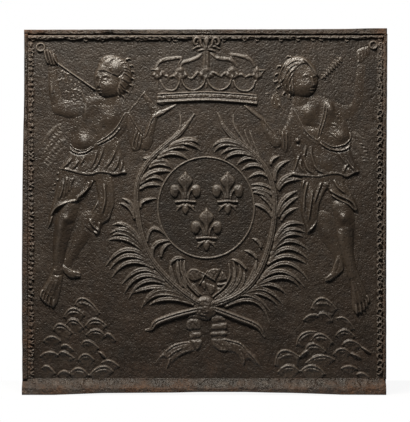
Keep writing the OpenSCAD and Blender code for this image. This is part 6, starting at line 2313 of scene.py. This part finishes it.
relief_piece(make_side_frieze(LEFT), "left_frieze", IRON_BORDER)
relief_piece(make_side_frieze(RIGHT), "right_frieze", IRON_BORDER)
relief_piece(make_top_frieze(), "top_frieze", IRON_BORDER)

relief_piece(make_ring(), "medallion_ring", IRON_RELIEF)
for k, centre in enumerate(LILY_CENTRES):
    relief_piece(make_lily(centre), ("left_lily", "right_lily", "lower_lily")[k], IRON_RELIEF)

relief_piece(make_circlet(), "crown_circlet", IRON_RELIEF)
relief_piece(make_flowers(), "crown_flowers", IRON_RELIEF)
relief_piece(make_arches(), "crown_arches", IRON_RELIEF)
relief_piece(make_finial(), "crown_finial", IRON_RELIEF)

OUTER_WINDOWS = ([102, 110, 200, 314], [216, 106, 316, 328])
INNER_WINDOWS = ([130, 134, 206, 296], [206, 134, 280, 308])
relief_piece(make_knot(), "ribbon_knot", IRON_RELIEF)
relief_piece(make_bow(), "ribbon_bow", IRON_RELIEF)

MAKERS = {
    "palm_rib": make_rib,
    "palm_outer_leaves": lambda side: make_leaves(
        OUTER_LEAVES[side], OUTER_WINDOWS[side], 71 + side,
    ),
    "palm_inner_leaves": lambda side: make_leaves(
        INNER_LEAVES[side], INNER_WINDOWS[side], 75 + side,
    ),
    "palm_stalk": make_stalk, "ribbon_tail": make_tail, "head": make_head, "hair": make_hair,
    "chest": make_chest, "tunic": make_tunic, "skirt": make_skirt, "front_leg": make_front_leg,
    "back_leg": make_back_leg, "crown_arm": make_crown_arm, "trumpet_arm": make_trumpet_arm,
    "trumpet": make_trumpet, "wing": make_wing, "clouds": make_clouds,
}
for name, make in MAKERS.items():
    relief_piece(make(LEFT), "left_" + name, IRON_RELIEF)
    relief_piece(make(RIGHT), "right_" + name, IRON_RELIEF)

# ---- Floor, light and camera ------------------------------------------------

# The whole picture, in columns and rows of the sheet
IMAGE_W, IMAGE_H = 410, 422
MIDDLE = mathutils.Vector((sheet_x(IMAGE_W / 2), FACE_Y, sheet_z(IMAGE_H / 2)))

FLOOR_HALF = 0.6
FLOOR_FRONT, FLOOR_BACK = -0.05, 0.35
FLOOR_BELOW = 0.5 * MM
FLOOR_GLOW = 0.93
ROOM_LIGHT = 0.06


def pale_floor():
    """A plain floor that is white to the camera and to gloss, and keeps the object's shadow."""
    mesh = bpy.data.meshes.new("floor")
    x, y0, y1 = FLOOR_HALF, FLOOR_FRONT, FLOOR_BACK
    mesh.from_pydata([(-x, y0, 0), (x, y0, 0), (x, y1, 0), (-x, y1, 0)], [], [(0, 1, 2, 3)])
    floor = bpy.data.objects.new("floor", mesh)
    floor.location.z = -FLOOR_BELOW
    bpy.context.scene.collection.objects.link(floor)
    material = bpy.data.materials.new("pale_floor")
    n = Nodes(material)
    shader = n.tree.nodes["Principled BSDF"]
    shader.inputs["Roughness"].default_value = 0.9
    shader.inputs["Specular IOR Level"].default_value = 0.1
    place = n.add("ShaderNodeTexCoord").outputs["Object"]
    path = n.add("ShaderNodeLightPath").outputs
    seen = n.math("ADD", path["Is Camera Ray"], path["Is Glossy Ray"])
    seen = n.math("ADD", seen, path["Is Transmission Ray"], clamp=True)
    pale = n.mix(n.noise(place, 30.0), (0.78, 0.78, 0.775, 1), (0.82, 0.82, 0.815, 1))
    n.put(shader.inputs["Base Color"], n.mix(seen, (0.1, 0.1, 0.1, 1), pale))
    glow = n.add("ShaderNodeEmission")
    glow.inputs["Color"].default_value = (1, 1, 1, 1)
    n.shade(n.math("MULTIPLY", seen, FLOOR_GLOW), shader, glow, n.tree.nodes["Material Output"])
    mesh.materials.append(material)


def white_world():
    """White to the camera, and behind the object to gloss; a dim room for the rest."""
    world = bpy.context.scene.world or bpy.data.worlds.new("room")
    bpy.context.scene.world = world
    n = Nodes(world)
    n.tree.nodes.clear()
    where = n.add("ShaderNodeSeparateXYZ")
    n.put(where.inputs[0], n.add("ShaderNodeTexCoord").outputs["Generated"])
    behind = n.add("ShaderNodeMapRange")
    n.put(behind.inputs["Value"], where.outputs["Y"])
    behind.inputs["From Max"].default_value = 0.5
    path = n.add("ShaderNodeLightPath").outputs
    shiny = n.math("MAXIMUM", path["Is Glossy Ray"], path["Is Transmission Ray"])
    seen = n.math("MAXIMUM", n.math("MULTIPLY", shiny, behind.outputs[0]), path["Is Camera Ray"])
    room, white = n.add("ShaderNodeBackground"), n.add("ShaderNodeBackground")
    room.inputs["Color"].default_value = (0.9, 0.95, 1.0, 1)
    room.inputs["Strength"].default_value = ROOM_LIGHT
    white.inputs["Color"].default_value = (1, 1, 1, 1)
    white.inputs["Strength"].default_value = 1.0
    n.shade(seen, room, white, n.add("ShaderNodeOutputWorld"))


def lamp(name, place, target, wide, tall, power, tint):
    """An oblong lamp at a place, turned towards its target."""
    data = bpy.data.lights.new(name, "AREA")
    data.shape = "RECTANGLE"
    data.size, data.size_y = wide, tall
    data.energy = power
    data.color = tint
    made = bpy.data.objects.new(name, data)
    bpy.context.scene.collection.objects.link(made)
    made.location = place
    way = mathutils.Vector(target) - made.location
    made.rotation_euler = way.to_track_quat("-Z", "Y").to_euler()


pale_floor()
white_world()
lamp(
    "key_light", (-0.45, -1.05, 2.15), target=(0.03, 0, 0.45),
    wide=1.1, tall=0.45, power=90, tint=(1, 0.96, 0.89),
)
lamp(
    "fill_light", (0.5, -2.6, 1.7), target=(0, 0, 0.5),
    wide=1.2, tall=0.8, power=1.4, tint=(0.97, 0.98, 1),
)

CAMERA_AWAY = 4.2
lens = bpy.data.cameras.new("camera")
lens.sensor_width = 36.0
lens.lens = lens.sensor_width * CAMERA_AWAY / (IMAGE_H * ROW_PITCH)
lens.clip_end = 50
camera = bpy.data.objects.new("camera", lens)
camera.location = MIDDLE - mathutils.Vector((0, CAMERA_AWAY, 0))
camera.rotation_euler = (math.pi / 2, 0, 0)
bpy.context.scene.collection.objects.link(camera)
bpy.context.scene.camera = camera
bpy.context.scene.view_settings.view_transform = "Standard"

print("faces", sum(len(p.data.polygons) for p in PIECES))
